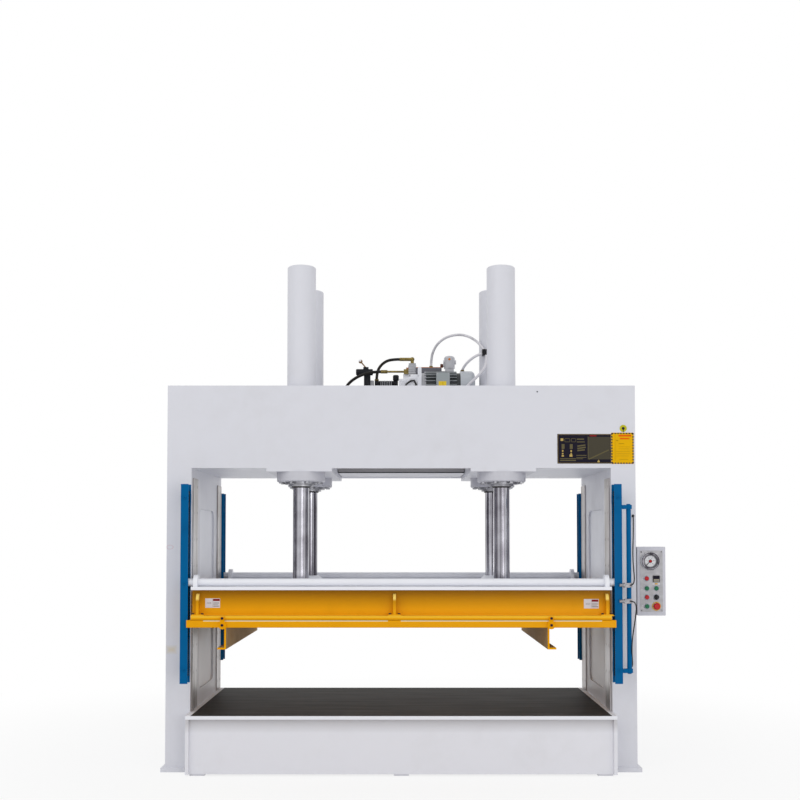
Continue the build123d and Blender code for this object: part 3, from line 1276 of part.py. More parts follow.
def hose_fittings():
    """The elbow on the filter block, its two plugs, and the unions of the two hoses."""
    x, z = MANIFOLD_LEFT - FILTER_LENGTH / 2, UPPER_HOSE[-1][2]
    ferrule = HOSE_DIAMETER + 2 * FERRULE_WALL
    elbow = rod_z(x, MANIFOLD_Y, FILTER_TOP, z, ELBOW_PIPE)
    elbow += Pos(x, MANIFOLD_Y, z) * Sphere(ELBOW_BALL / 2)
    elbow += rod_x(MANIFOLD_Y, z, UPPER_HOSE[-1][0], x, ferrule)
    plug_right = MANIFOLD_LEFT - FILTER_LENGTH
    plugs = [rod_x(MANIFOLD_Y, MANIFOLD_TOP + dz, plug_right - PLUG_LENGTH, plug_right,
                   PLUG_DIAMETER) for dz in (-45, -5)]
    union = rod_z(HOSE_PORT_X, HOSE_PORT_Y, HOSE_PORT_TOP, UPPER_HOSE[0][2], UNION_DIAMETER)
    x, y, z = LOWER_HOSE[-1]
    half = PORT_SIZE / 2
    left = BELL_LEFT - 30 - half
    corner = block(left, left + PORT_SIZE, y - PIPE_DIAMETER + 2, MOTOR_Y + half,
                   PRESSURE_PORT_Z - half, PRESSURE_PORT_Z + half)
    corner += rod_x(y, z, x + FERRULE_LENGTH - 5, left, PIPE_DIAMETER)
    corner += rod_x(y, z, x, x + FERRULE_LENGTH, ferrule)
    x, y, z = LOWER_HOSE[0]
    return [elbow, union, corner, rod_z(x, y, LID_TOP, z, UNION_DIAMETER)] + plugs


def conduit_fittings():
    """The glands of the three conduits and the junction block where they meet."""
    glands = [rod_z(end[0], end[1], base, end[2], GLAND_NUT)
              for end, base in ((FIRST_CONDUIT[0], MANIFOLD_TOP), (THIRD_CONDUIT[-1], LID_TOP))]
    x, y, z = SECOND_CONDUIT[-1]
    saddle = rod_z(x, y, z - SADDLE_HEIGHT, z, GLAND_NUT)
    saddle -= rod_x(MOTOR_Y, MOTOR_Z, MOTOR_RIGHT, x + 60, 2 * COWL_RADIUS)
    x, y, z = JUNCTION
    half = JUNCTION_SIZE / 2
    junction = block(x - half, x + half, y - half, CYLINDER_Y - 40, z - half, z + half)
    junction -= rod_z(CYLINDER_X, CYLINDER_Y, z - JUNCTION_SIZE, z + JUNCTION_SIZE,
                      2 * CYLINDER_RADIUS)
    return glands + [saddle, junction]


def line_fittings():
    """The unions, elbows and glands of the hoses, conduits and cables."""
    glands = [rod_y(points[-1][0], points[-1][2], points[-1][1], FRAME_FRONT, CABLE_GLAND)
              for points in (UPPER_CABLE, LOWER_CABLE)]
    return group(hose_fittings() + conduit_fittings() + glands)


def shaft_pinions(y):
    return group([pinion(y), mirrored(pinion(y))])


for name, side in (("left_side_frame", -1), ("right_side_frame", 1)):
    save(name, side_frame() if side > 0 else mirrored(side_frame()))
save("access_covers", group([access_cover(), mirrored(access_cover())]))
save("guide_strips", guide_strips())
save("front_beam", head_beam(FRAME_FRONT, 1))
save("rear_beam", head_beam(FRAME_REAR, -1))
save("soffit_plates", group([soffit(), mirrored(soffit())]))
save("cylinder_carriers", group([cylinder_carrier(), mirrored(cylinder_carrier())]))

places = [(x, y) for x in (-CYLINDER_X, CYLINDER_X) for y in (-CYLINDER_Y, CYLINDER_Y)]
save("cylinder_tubes", group([cylinder_tube(x, y) for x, y in places]))
save("gland_rings", group([gland_ring(x, y) for x, y in places]))
save("flange_bolts", flange_bolts())
save("piston_rods", group([piston_rod(x, y) for x, y in places]))
save("rod_feet", group([rod_foot(x, y) for x, y in places]))

save("table_body", table_body())
save("table_top", table_top())

save("platen_frame", platen_frame())
save("platen_top_plate", platen_top_plate())
save("press_plate", press_plate())
rails = [hanging_rail(x, side) for x, side in RAILS]
clamps = [rail_clamp(x + side * RAIL_CLAMP_SHIFT) for x, side in RAILS]
save("hanging_rails", group(rails + clamps))

housings = []
racks = []
for y0, back, facing in ((HOUSING_FRONT, HOUSING_BACK - HOUSING_WALL, -1),
                         (FRAME_REAR, FRAME_REAR + HOUSING_WALL, 1)):
    housing = rack_housing(y0)
    housings += [housing, mirrored(housing)]
    toothed = rack(back, facing)
    racks += [toothed, mirrored(toothed)]
for z in (HOUSING_LOW + STANDOFF_INSET, (HOUSING_LOW + HOUSING_HIGH) / 2,
          HOUSING_HIGH - STANDOFF_INSET):
    bracket = standoff(z)
    housings += [bracket, mirrored(bracket)]
save("rack_housings", group(housings))
save("gear_racks", group(racks))
for name, y in (("front", SHAFT_FRONT_Y), ("rear", SHAFT_REAR_Y)):
    save(f"{name}_shaft", levelling_shaft(y))
    save(f"{name}_pinions", shaft_pinions(y))
bearings = []
for y in (SHAFT_FRONT_Y, SHAFT_REAR_Y):
    bearings += [shaft_bearing(y), mirrored(shaft_bearing(y))]
save("shaft_bearings", group(bearings))

save("sensor_rail", sensor_rail())
save("height_sensors", group([height_sensor(z) for z in SENSOR_HEIGHTS]))
save("upper_sensor_cable", cord("upper_sensor_cable", UPPER_CABLE, SENSOR_CABLE))
save("lower_sensor_cable", cord("lower_sensor_cable", LOWER_CABLE, SENSOR_CABLE))

save("control_box", control_box())
save("control_panel", control_panel())
save("gauge_case", gauge_case())
save("gauge_pointer", gauge_pointer())
save("timer_display", timer_display())
save("signal_lamp", signal_lamp())
for name, (x, z) in BUTTON_PLACES.items():
    if name not in ("selector_knob", "emergency_button"):
        save(name, push_button(x, z))
save("selector_knob", selector_knob())
save("emergency_button", emergency_button())

save("oil_tank", oil_tank())
save("tank_lid", tank_lid())
save("motor_housing", motor_housing())
save("fan_cowl", fan_cowl())
save("motor_rotor", motor_rotor())
save("terminal_box", terminal_box())
save("pump", pump())
save("valve_block", group([valve_block(), hand_valve()]))
save("hand_lever", hand_lever())
save("manifold", manifold())
save("pressure_valve", pressure_valve())
save("relief_knob", relief_knob())
save("line_fittings", line_fittings())
save("upper_hose", cord("upper_hose", UPPER_HOSE, HOSE_DIAMETER))
save("lower_hose", cord("lower_hose", LOWER_HOSE, HOSE_DIAMETER))
save("first_conduit", cord("first_conduit", FIRST_CONDUIT, CONDUIT_DIAMETER))
save("second_conduit", cord("second_conduit", SECOND_CONDUIT, CONDUIT_DIAMETER))
save("third_conduit", cord("third_conduit", THIRD_CONDUIT, CONDUIT_DIAMETER))
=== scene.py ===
import math

import bmesh
import bpy
import numpy as np
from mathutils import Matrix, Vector


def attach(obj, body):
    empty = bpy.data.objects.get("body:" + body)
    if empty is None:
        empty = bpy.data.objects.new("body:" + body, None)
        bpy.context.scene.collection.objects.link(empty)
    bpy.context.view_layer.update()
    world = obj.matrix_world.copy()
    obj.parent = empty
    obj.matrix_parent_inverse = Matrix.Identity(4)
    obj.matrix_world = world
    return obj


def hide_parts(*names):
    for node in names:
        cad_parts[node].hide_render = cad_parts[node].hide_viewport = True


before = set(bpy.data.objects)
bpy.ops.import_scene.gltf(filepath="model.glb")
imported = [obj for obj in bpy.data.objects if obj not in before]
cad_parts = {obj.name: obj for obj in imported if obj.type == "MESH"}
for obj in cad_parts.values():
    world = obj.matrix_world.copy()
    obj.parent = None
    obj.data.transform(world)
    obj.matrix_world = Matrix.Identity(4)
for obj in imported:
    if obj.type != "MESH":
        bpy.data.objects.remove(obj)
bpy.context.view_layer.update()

# STUDIO
# A pale floor that runs back to a white background, one large soft lamp at the
# front left and a low one at the front right. None of it belongs to the press.
FLOOR_HALF, FLOOR_SHADE = 30.0, 0.86
FLOOR_CLEAR, FLOOR_FADE, FLOOR_WHITENING = 1.8, 4.5, 0.82
SKY_LIGHT = 0.80
PURE_WHITE = (1, 1, 1, 1)
KEY_PLACE, KEY_SIZE, KEY_POWER = (-3.4, -6.4, 5.6), 4.5, 62.0
FILL_PLACE, FILL_SIZE, FILL_POWER = (2.6, -7.4, 0.9), 3.0, 62.0
LAMP_AIM = (0.0, 0.0, 1.3)


def fill(tree, socket, value):
    """Sets an input to a value or joins an output to it; a node stands for its first output."""
    if isinstance(value, bpy.types.Node):
        value = value.outputs[0]
    if isinstance(value, bpy.types.NodeSocket):
        tree.links.new(value, socket)
    else:
        socket.default_value = value


def add(tree, kind, *feeds, **settings):
    """A new shader node: a setting named after an input fills that input, any other is set on
    the node, and the feeds fill its inputs in order."""
    node = tree.nodes.new("ShaderNode" + kind)
    for name, value in settings.items():
        socket = node.inputs.get(name.replace("_", " "))
        if socket is None:
            setattr(node, name, value)
        else:
            fill(tree, socket, value)
    for socket, value in zip(node.inputs, feeds):
        fill(tree, socket, value)
    return node


def blank(data):
    """The emptied node tree of a new material or sky."""
    data.use_nodes = True
    data.node_tree.nodes.clear()
    return data.node_tree


def put(name, data):
    """A new object in the scene."""
    thing = bpy.data.objects.new(name, data)
    bpy.context.scene.collection.objects.link(thing)
    return thing


def seen_directly(tree):
    """1 on camera, mirror and glass rays, 0 on the rays that light the press."""
    rays = add(tree, "LightPath").outputs
    total = rays["Is Camera Ray"]
    for other in ("Is Glossy Ray", "Is Transmission Ray"):
        total = add(tree, "Math", total, rays[other], operation="ADD", use_clamp=True)
    return total


def soft_lamp(name, place, size, power):
    """A square soft lamp that looks at the middle of the press."""
    light = bpy.data.lights.new(name, "AREA")
    light.shape, light.size, light.energy = "SQUARE", size, power
    lamp = put(name, light)
    lamp.location = place
    lamp.rotation_euler = (Vector(LAMP_AIM) - Vector(place)).to_track_quat("-Z", "Y").to_euler()


sky = bpy.data.worlds.new("studio_sky")
bpy.context.scene.world = sky
tree = blank(sky)
strength = add(tree, "MapRange", Value=seen_directly(tree), To_Min=SKY_LIGHT, To_Max=1.0)
add(tree, "OutputWorld", add(tree, "Background", Color=PURE_WHITE, Strength=strength))

floor_paper = bpy.data.materials.new("studio_floor")
tree = blank(floor_paper)
place = add(tree, "TexCoord").outputs["Object"]
distance = add(tree, "VectorMath", place, operation="LENGTH").outputs["Value"]
far_away = add(tree, "MapRange", Value=distance, From_Min=FLOOR_CLEAR, From_Max=FLOOR_FADE,
               To_Min=FLOOR_WHITENING, To_Max=1.0, interpolation_type="SMOOTHSTEP")
whiten = add(tree, "Math", far_away, seen_directly(tree), operation="MULTIPLY")
paper = add(tree, "BsdfDiffuse", Color=(FLOOR_SHADE, FLOOR_SHADE, FLOOR_SHADE, 1))
glow = add(tree, "Emission", Color=PURE_WHITE, Strength=1.0)
add(tree, "OutputMaterial", add(tree, "MixShader", whiten, paper, glow))

floor_mesh = bpy.data.meshes.new("studio_floor")
corners = [(x * FLOOR_HALF, y * FLOOR_HALF, 0) for x, y in ((-1, -1), (1, -1), (1, 1), (-1, 1))]
floor_mesh.from_pydata(corners, [], [(0, 1, 2, 3)])
floor_mesh.materials.append(floor_paper)
put("studio_floor", floor_mesh)
soft_lamp("key_lamp", KEY_PLACE, KEY_SIZE, KEY_POWER)
soft_lamp("fill_lamp", FILL_PLACE, FILL_SIZE, FILL_POWER)
bpy.context.scene.view_settings.view_transform = "Standard"

# CAMERA
# It stands square in front of the press at chest height, tilted up a little, with
# the lens and the shift that put the press where the photograph has it.
PHOTO_SIDE = 800.0
FOCAL_LENGTH_PX = 1085.0
SENSOR_WIDTH = 36.0
CAMERA_PLACE = (0.0, -7.1, 1.394)
CAMERA_TILT = math.radians(2.0)
HORIZON_BELOW_CENTRE_PX = 141.5
AXIS_RIGHT_OF_CENTRE_PX = 1.3

lens = bpy.data.cameras.new("photo_camera")
lens.sensor_width = SENSOR_WIDTH
lens.lens = SENSOR_WIDTH * FOCAL_LENGTH_PX / PHOTO_SIDE
tilt_shift = FOCAL_LENGTH_PX * math.tan(CAMERA_TILT)
lens.shift_x = -AXIS_RIGHT_OF_CENTRE_PX / PHOTO_SIDE
lens.shift_y = (HORIZON_BELOW_CENTRE_PX - tilt_shift) / PHOTO_SIDE
camera = put("photo_camera", lens)
camera.location = CAMERA_PLACE
camera.rotation_euler = (math.pi / 2 + CAMERA_TILT, 0.0, 0.0)
bpy.context.scene.camera = camera

# SIDE FRAMES
# Two welded box-section side frames with sheet covers, sprayed in satin white. The
# left post has a faint yellow run on it and a pink oval drawn with a marker.
WHITE_PAINT = (0.700, 0.705, 0.760)
WHITE_GRIME = (0.42, 0.40, 0.37)
BRIGHT_WHITE = (0.84, 0.85, 0.90)
RUN_LOW, RUN_HIGH = (-1.408, -0.480, 0.735), (-1.388, -0.470, 0.739)
RUN_SOFTNESS = 0.028
MARK_X, MARK_Z, MARK_RADIUS, MARK_STRETCH = -1411.0, 1360.0, 13.0, 1.6
MARK_LINE, MARK_LIFT = 1.4, 0.2
BASE_TOP = 25.0
POST_FRONT, POST_REAR = -475.0, 615.0
POST_INNER, POST_OUTER = 1284.0, 1430.0
BEAD_RADIUS, BEAD_PITCH = 5.0, 10.0
BUMP_DEPTH = 0.0005
SHARP_EDGE = math.radians(35)
FIRST_COLOUR, SECOND_COLOUR, MIXED_COLOUR = 6, 7, 2
SURFACE_VALUES = {"Colour": "Color", "Roughness": "Float", "Height": "Float"}
AXES = {"-Y": ((1, 0, 0), (0, 0, 1), (0, -1, 0)), "+Y": ((-1, 0, 0), (0, 0, 1), (0, 1, 0)),
        "+X": ((0, 1, 0), (0, 0, 1), (1, 0, 0)), "-X": ((0, -1, 0), (0, 0, 1), (-1, 0, 0)),
        "+Z": ((1, 0, 0), (0, 1, 0), (0, 0, 1)), "-Z": ((-1, 0, 0), (0, 1, 0), (0, 0, -1))}


def mixed(tree, share, first, second):
    """The output of a node that mixes two colours."""
    node = add(tree, "Mix", share, data_type="RGBA")
    fill(tree, node.inputs[FIRST_COLOUR], first)
    fill(tree, node.inputs[SECOND_COLOUR], second)
    return node.outputs[MIXED_COLOUR]


def shared_effect(name, takes, gives):
    """A new node group, the values given to it, the values it makes and the place on the press."""
    group = bpy.data.node_groups.new(name, "ShaderNodeTree")
    for way, sockets in (("INPUT", takes), ("OUTPUT", gives)):
        for label, kind in sockets.items():
            group.interface.new_socket(label, in_out=way, socket_type="NodeSocket" + kind)
    given = group.nodes.new("NodeGroupInput").outputs
    made = group.nodes.new("NodeGroupOutput").inputs
    return group, given, made, add(group, "TexCoord").outputs["Object"]


def spray_film_group():
    """Sprayed paint: colour drifts slowly, fine orange peel in height, and thin dirt where two
    noises agree; on the conduits the same dark mark is painted shade and reflection along their
    ribs."""
    group, given, made, place = shared_effect(
        "spray_film", {"Paint": "Color", "Grime": "Color", "Grime amount": "Float",
                       "Shine": "Float"}, SURFACE_VALUES)
    drift = add(group, "TexNoise", Vector=place, Scale=1.7, Detail=3.0)
    blotch = add(group, "TexNoise", Vector=place, Scale=9.0, Detail=6.0, Roughness=0.62)
    peel = add(group, "TexNoise", Vector=place, Scale=420.0, Detail=2.0)
    both = add(group, "Math", drift, blotch, operation="MULTIPLY")
    dirty = add(group, "MapRange", Value=both, From_Min=0.24, From_Max=0.48)
    amount = add(group, "Math", dirty, given["Grime amount"], operation="MULTIPLY")
    duller = add(group, "MapRange", Value=blotch, From_Min=0.3, From_Max=0.7, To_Min=-0.05,
                 To_Max=0.07)
    rough = add(group, "Math", given["Shine"], duller, operation="ADD", use_clamp=True)
    fill(group, made["Colour"], mixed(group, amount, given["Paint"], given["Grime"]))
    fill(group, made["Roughness"], rough)
    fill(group, made["Height"], peel)
    return group


def zone_mask_group():
    """1 inside a box, falling to 0 over the soft distance outside it: the largest of
    |place - centre| - half sizes decides."""
    group, given, made, place = shared_effect(
        "zone_mask", {"Centre": "Vector", "Half": "Vector", "Soft": "Float"}, {"Mask": "Float"})
    offset = add(group, "VectorMath", place, given["Centre"], operation="SUBTRACT")
    offset = add(group, "VectorMath", offset, operation="ABSOLUTE")
    offset = add(group, "VectorMath", offset, given["Half"], operation="SUBTRACT")
    parts = add(group, "SeparateXYZ", offset).outputs
    largest = parts["X"]
    for axis in "YZ":
        largest = add(group, "Math", largest, parts[axis], operation="MAXIMUM")
    fill(group, made["Mask"], add(group, "MapRange", Value=largest, From_Max=given["Soft"],
                                  To_Min=1.0, To_Max=0.0))
    return group


def zone(low, high, soft, colour):
    """A colour layer over a box on the press, in metres: its mask maker and its colour."""
    def make(tree):
        centre = [(a + b) / 2 for a, b in zip(low, high)]
        half = [(b - a) / 2 for a, b in zip(low, high)]
        return add(tree, "Group", node_tree=zone_mask, Centre=centre, Half=half, Soft=soft)
    return make, colour


def surface(name, group, values, bump, metallic=0.0, coat=0.0, specular=0.5, layers=()):
    """A material whose shader takes colour, roughness and height from a shared group, with
    colour layers laid over masks."""
    material = bpy.data.materials.new(name)
    tree = blank(material)
    pattern = add(tree, "Group", node_tree=group, **values).outputs
    colour = pattern["Colour"]
    for mask, layer in layers:
        colour = mixed(tree, mask(tree), colour, (*layer, 1))
    relief = add(tree, "Bump", Strength=bump, Distance=BUMP_DEPTH, Height=pattern["Height"])
    shader = add(tree, "BsdfPrincipled", Base_Color=colour, Roughness=pattern["Roughness"],
                 Normal=relief, Metallic=metallic, Coat_Weight=coat, Specular_IOR_Level=specular)
    add(tree, "OutputMaterial", shader)
    return material


def painted(name, paint, grime_and_shade, grime_and_shade_amount, shine=0.42, **look):
    """A sprayed paint finish."""
    values = {"Paint": (*paint, 1), "Grime": (*grime_and_shade, 1), "Grime amount": grime_and_shade_amount,
              "Shine": shine}
    return surface(name, spray_film, values, bump=0.12, **look)


def finish(material, *nodes):
    """Gives CAD nodes their finish."""
    for name in nodes:
        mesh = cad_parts[name].data
        mesh.materials.clear()
        mesh.materials.append(material)


def bead_form(start, end, radius=BEAD_RADIUS, pitch=BEAD_PITCH):
    """A weld bead: a round section carried from start to end, whose radius swells by a sine once
    every pitch and shrinks to nothing at both ends."""
    start, end = np.array(start, float), np.array(end, float)
    length = np.linalg.norm(end - start)
    along = (end - start) / length
    helper = np.array([0.0, 0.0, 1.0]) if abs(along[2]) < 0.9 else np.array([1.0, 0.0, 0.0])
    side = np.cross(along, helper)
    side = side / np.linalg.norm(side)
    up = np.cross(side, along)
    travel = np.linspace(0.0, length, max(int(length / pitch * 3), 6))
    ends = np.clip(np.minimum(travel, length - travel) / radius, 0.06, 1.0) ** 0.5
    swell = radius * ends * (1.0 + 0.14 * np.sin(2 * np.pi * travel / pitch))
    angle = np.linspace(0.0, 2 * np.pi, 8, endpoint=False)
    ring = np.cos(angle)[:, None] * side + np.sin(angle)[:, None] * up
    return start + travel[:, None, None] * along + swell[:, None, None] * ring


def turned_form(profile, centre, axis="-Y", sides=28):
    """A turned shape: each (radius, height) of the profile is a ring, centre + height * axis +
    radius * (cos(angle) * across + sin(angle) * up). Six sides make a hexagon."""
    across, up, along = (np.array(v, float) for v in AXES[axis])
    radius, height = np.array(profile, float).T
    angle = np.linspace(0.0, 2 * np.pi, sides, endpoint=False)
    ring = np.cos(angle)[:, None] * across + np.sin(angle)[:, None] * up
    return np.array(centre, float) + height[:, None, None] * along + radius[:, None, None] * ring


def dressed(name, data, material, body):
    """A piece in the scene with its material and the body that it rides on."""
    data.materials.clear()
    data.materials.append(material)
    piece = put(name, data)
    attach(piece, body)
    return piece


def fitted(name, forms, material, body="frame"):
    """One piece from closed forms in millimetres: quads join neighbouring rings, one face closes
    each end, and a form whose last ring repeats its first is joined to itself instead."""
    points, faces, first = [], [], 0
    for form in forms:
        ringed = np.allclose(form[0], form[-1])
        form = form[:-1] if ringed else form
        rings, sides = form.shape[:2]
        index = first + np.arange(rings * sides).reshape(rings, sides)
        beside = np.roll(index, -1, axis=1)
        if ringed:
            quads = np.stack([index, beside, np.roll(beside, -1, axis=0),
                              np.roll(index, -1, axis=0)], -1)
        else:
            quads = np.stack([index[:-1], beside[:-1], beside[1:], index[1:]], -1)
            faces += [index[0][::-1].tolist(), index[-1].tolist()]
        faces += quads.reshape(-1, 4).tolist()
        points.append(form.reshape(-1, 3))
        first += rings * sides
    mesh = bpy.data.meshes.new(name)
    mesh.from_pydata((np.concatenate(points) / 1000).tolist(), [], faces)
    shell = bmesh.new()
    shell.from_mesh(mesh)
    bmesh.ops.recalc_face_normals(shell, faces=shell.faces)
    shell.to_mesh(mesh)
    shell.free()
    mesh.polygons.foreach_set("use_smooth", [True] * len(mesh.polygons))
    mesh.set_sharp_from_angle(angle=SHARP_EDGE)
    dressed(name, mesh, material, body)


spray_film = spray_film_group()
zone_mask = zone_mask_group()
white_paint = painted("white_paint", WHITE_PAINT, WHITE_GRIME, 0.10)
# Painted light: a lighter copy of the white paint, which brightens the faces in shade and the other
# parts that take it.
lit_white_paint = painted("lit_white_paint", BRIGHT_WHITE, WHITE_GRIME, 0.06)
post_paint = painted("post_paint", WHITE_PAINT, WHITE_GRIME, 0.10,
                     layers=[zone(RUN_LOW, RUN_HIGH, RUN_SOFTNESS, (0.66, 0.60, 0.50))])
marker_pink = painted("marker_pink", (0.62, 0.36, 0.42), WHITE_GRIME, 0.5, specular=0.1)
finish(post_paint, "left_side_frame")
finish(white_paint, "right_side_frame")
# The access covers on the posts' inner faces sit in shade and take the lighter white as painted
# light.
finish(lit_white_paint, "access_covers")

foot_beads = []
for side in (-1, 1):
    inner, outer, rear = ((side * x, y, BASE_TOP) for x, y in (
        (POST_INNER, POST_FRONT), (POST_OUTER, POST_FRONT), (POST_OUTER, POST_REAR)))
    foot_beads += [bead_form(inner, outer), bead_form(outer, rear)]
fitted("post_foot_welds", foot_beads, white_paint)

marker_line = [(MARK_RADIUS - MARK_LINE, -MARK_LIFT), (MARK_RADIUS - MARK_LINE, MARK_LIFT),
               (MARK_RADIUS, MARK_LIFT), (MARK_RADIUS, -MARK_LIFT),
               (MARK_RADIUS - MARK_LINE, -MARK_LIFT)]
oval = turned_form(marker_line, (0.0, POST_FRONT, MARK_Z), sides=48)
oval = oval * np.array([MARK_STRETCH, 1.0, 1.0]) + np.array([MARK_X, 0.0, 0.0])
fitted("marker_oval", [oval], marker_pink)

# WEAR STRIPS
# Four flat ground steel strips screwed to the inner faces of the posts, which the
# platen runs past. Upright scratches from years of strokes mark them.
STRIP_FACE = 1274.0
STRIP_MIDDLES = (-370.0, 510.0)
SCREW_LEVELS = np.arange(430.0, 1750.0, 163.0)
SCREW_SPREAD = 45.0
SCREW_PROFILE = [(9.0, -0.5), (9.0, 0.2), (8.2, 0.9), (4.6, 1.1), (4.2, 0.3), (0.4, 0.2)]


def worked_steel_group():
    """Ground or turned steel: noise stretched along the tool's path, mixing two tones of metal."""
    group, given, made, place = shared_effect(
        "worked_steel", {"Light": "Color", "Dark": "Color", "Stretch": "Vector",
                         "Contrast": "Float", "Shine": "Float"}, SURFACE_VALUES)
    along = add(group, "VectorMath", place, given["Stretch"], operation="MULTIPLY")
    streak = add(group, "TexNoise", Vector=along, Scale=1.0, Detail=5.0, Roughness=0.65)
    cloud = add(group, "TexNoise", Vector=place, Scale=4.0, Detail=4.0)
    blend = add(group, "Math", cloud, 0.5, streak, operation="MULTIPLY_ADD")
    spread = add(group, "MapRange", Value=blend, From_Min=0.5, From_Max=1.0)
    amount = add(group, "Math", spread, given["Contrast"], operation="MULTIPLY", use_clamp=True)
    duller = add(group, "MapRange", Value=streak, To_Min=-0.08, To_Max=0.10)
    rough = add(group, "Math", given["Shine"], duller, operation="ADD", use_clamp=True)
    fill(group, made["Colour"], mixed(group, amount, given["Light"], given["Dark"]))
    fill(group, made["Roughness"], rough)
    fill(group, made["Height"], streak)
    return group


def worked(name, light, dark, stretch, contrast=1.0, shine=0.35, metallic=1.0, bump=0.15, **look):
    """A machined metal finish with its grain along one axis."""
    values = {"Light": (*light, 1), "Dark": (*dark, 1), "Stretch": stretch, "Contrast": contrast,
              "Shine": shine}
    return surface(name, worked_steel, values, bump, metallic=metallic, **look)


worked_steel = worked_steel_group()
strip_steel = worked("strip_steel", (0.60, 0.59, 0.61), (0.30, 0.27, 0.26), (60.0, 60.0, 1.2),
                     contrast=1.3, metallic=0.7)
finish(strip_steel, "guide_strips")
strip_screws = [turned_form(SCREW_PROFILE, (face, middle + spread, level), axis, sides=16)
                for face, axis in ((-STRIP_FACE, "+X"), (STRIP_FACE, "-X"))
                for middle in STRIP_MIDDLES for level in SCREW_LEVELS
                for spread in (-SCREW_SPREAD, SCREW_SPREAD)]
fitted("strip_screws", strip_screws, strip_steel)

# HEAD
# Two channel beams across the top with soffit plates and four cylinder carriers under them, welded
# up. The rear beam and the soffit plates sit in shade and take a lighter copy of the white paint as
# painted light.
finish(white_paint, "front_beam", "cylinder_carriers")
finish(lit_white_paint, "rear_beam", "soffit_plates")

# RATING AND NOTICE PLATES
# A thin black and gold anodised plate, a yellow notice with a dashed border and a round
# yellow tag, glued to the beam. They hold plain marks and lines only, and no lettering.
BEAM_FRONT = -475.0
BLACK_PLATE = (955.0, 1870.0, 328.0, 182.0)
YELLOW_PLATE = (1284.0, 1868.0, 139.0, 192.0)
TAG_CENTRE, TAG_RADIUS = (1359.0, 2086.0), 22.0
TAG_LINE_DROP, TAG_LINE_SIZE = 15.0, (4.5, 16.0)
PLUG_CENTRE, PLUG_RADIUS = (833.5, 2312.0), 4.0
PLATE_DEPTH, PRINT_DEPTH = 1.0, 0.35
PRINT_FACE = BEAM_FRONT - PLATE_DEPTH
SIDE_DASHES, SIDE_DASH_PITCH, SIDE_DASH = 11, 17.5, (8.5, 10.0)
END_DASHES, END_DASH_PITCH, END_DASH = 8, 17.2, (10.0, 8.0)
DASH_START, DASH_EDGE = 4.0, 0.6


def plate_form(centre, width, height, depth, axis="-Y", corner=1.5, chamfer=0.25, rounds=4,
               turn=0.0):
    """A plate: a rectangle whose corners are quarter circles is carried through the depth and
    drawn in by the chamfer at both faces, then turned in its own plane."""
    across, up, along = (np.array(v, float) for v in AXES[axis])
    inset = np.array([chamfer, 0.0, 0.0, chamfer])[:, None]
    level = np.array([0.0, chamfer, depth - chamfer, depth])
    angle = (np.arange(4 * rounds) + 0.5) * np.pi / (2 * rounds)
    radius = np.maximum(corner - inset, 0.02)
    wide = np.sign(np.cos(angle)) * (width / 2 - inset - radius) + radius * np.cos(angle)
    high = np.sign(np.sin(angle)) * (height / 2 - inset - radius) + radius * np.sin(angle)
    right = wide * np.cos(turn) - high * np.sin(turn)
    upward = wide * np.sin(turn) + high * np.cos(turn)
    flat = right[..., None] * across + upward[..., None] * up
    return np.array(centre, float) + flat + level[:, None, None] * along


def printed(marks, corner, face):
    """Thin tiles in front of a plate from (left, bottom, width, height) or the same with a turn
    in degrees."""
    forms = []
    for left, bottom, width, height, *turn in marks:
        centre = (corner[0] + left + width / 2, face, corner[1] + bottom + height / 2)
        forms.append(plate_form(centre, width, height, PRINT_DEPTH, corner=0.3, chamfer=0.1,
                                rounds=1, turn=math.radians(turn[0]) if turn else 0.0))
    return forms


def plate_print(name, marks, plate, ink, face=PRINT_FACE):
    """Printed marks on one of the beam's plates."""
    fitted(name, printed(marks, plate[:2], face), ink)


def print_ink(name, colour, shine=0.4):
    """A thin printed or anodised film."""
    return painted(name, colour, tuple(0.6 * c + 0.02 for c in colour), 0.5, shine=shine,
                   specular=0.06)


def glued_plate(name, place, material):
    """A thin plate on the beam from its left, bottom, width and height."""
    left, bottom, width, height = place
    centre = (left + width / 2, BEAM_FRONT, bottom + height / 2)
    fitted(name, [plate_form(centre, width, height, PLATE_DEPTH, corner=3.0)], material)


plate_black = print_ink("plate_black", (0.012, 0.010, 0.020))
plate_gold = print_ink("plate_gold", (0.50, 0.36, 0.11))
plate_olive = print_ink("plate_olive", (0.125, 0.105, 0.050))
chart_olive = print_ink("chart_olive", (0.066, 0.058, 0.040))
notice_yellow = print_ink("notice_yellow", (0.800, 0.440, 0.000))
notice_ochre = print_ink("notice_ochre", (0.52, 0.28, 0.00))
notice_red = print_ink("notice_red", (0.80, 0.13, 0.00))
tag_yellow = print_ink("tag_yellow", (0.56, 0.52, 0.02))
ink_dark = print_ink("ink_dark", (0.010, 0.012, 0.035))
ink_red = print_ink("ink_red", (0.24, 0.010, 0.014))
glued_plate("rating_plate", BLACK_PLATE, plate_black)
glued_plate("notice_plate", YELLOW_PLATE, notice_yellow)

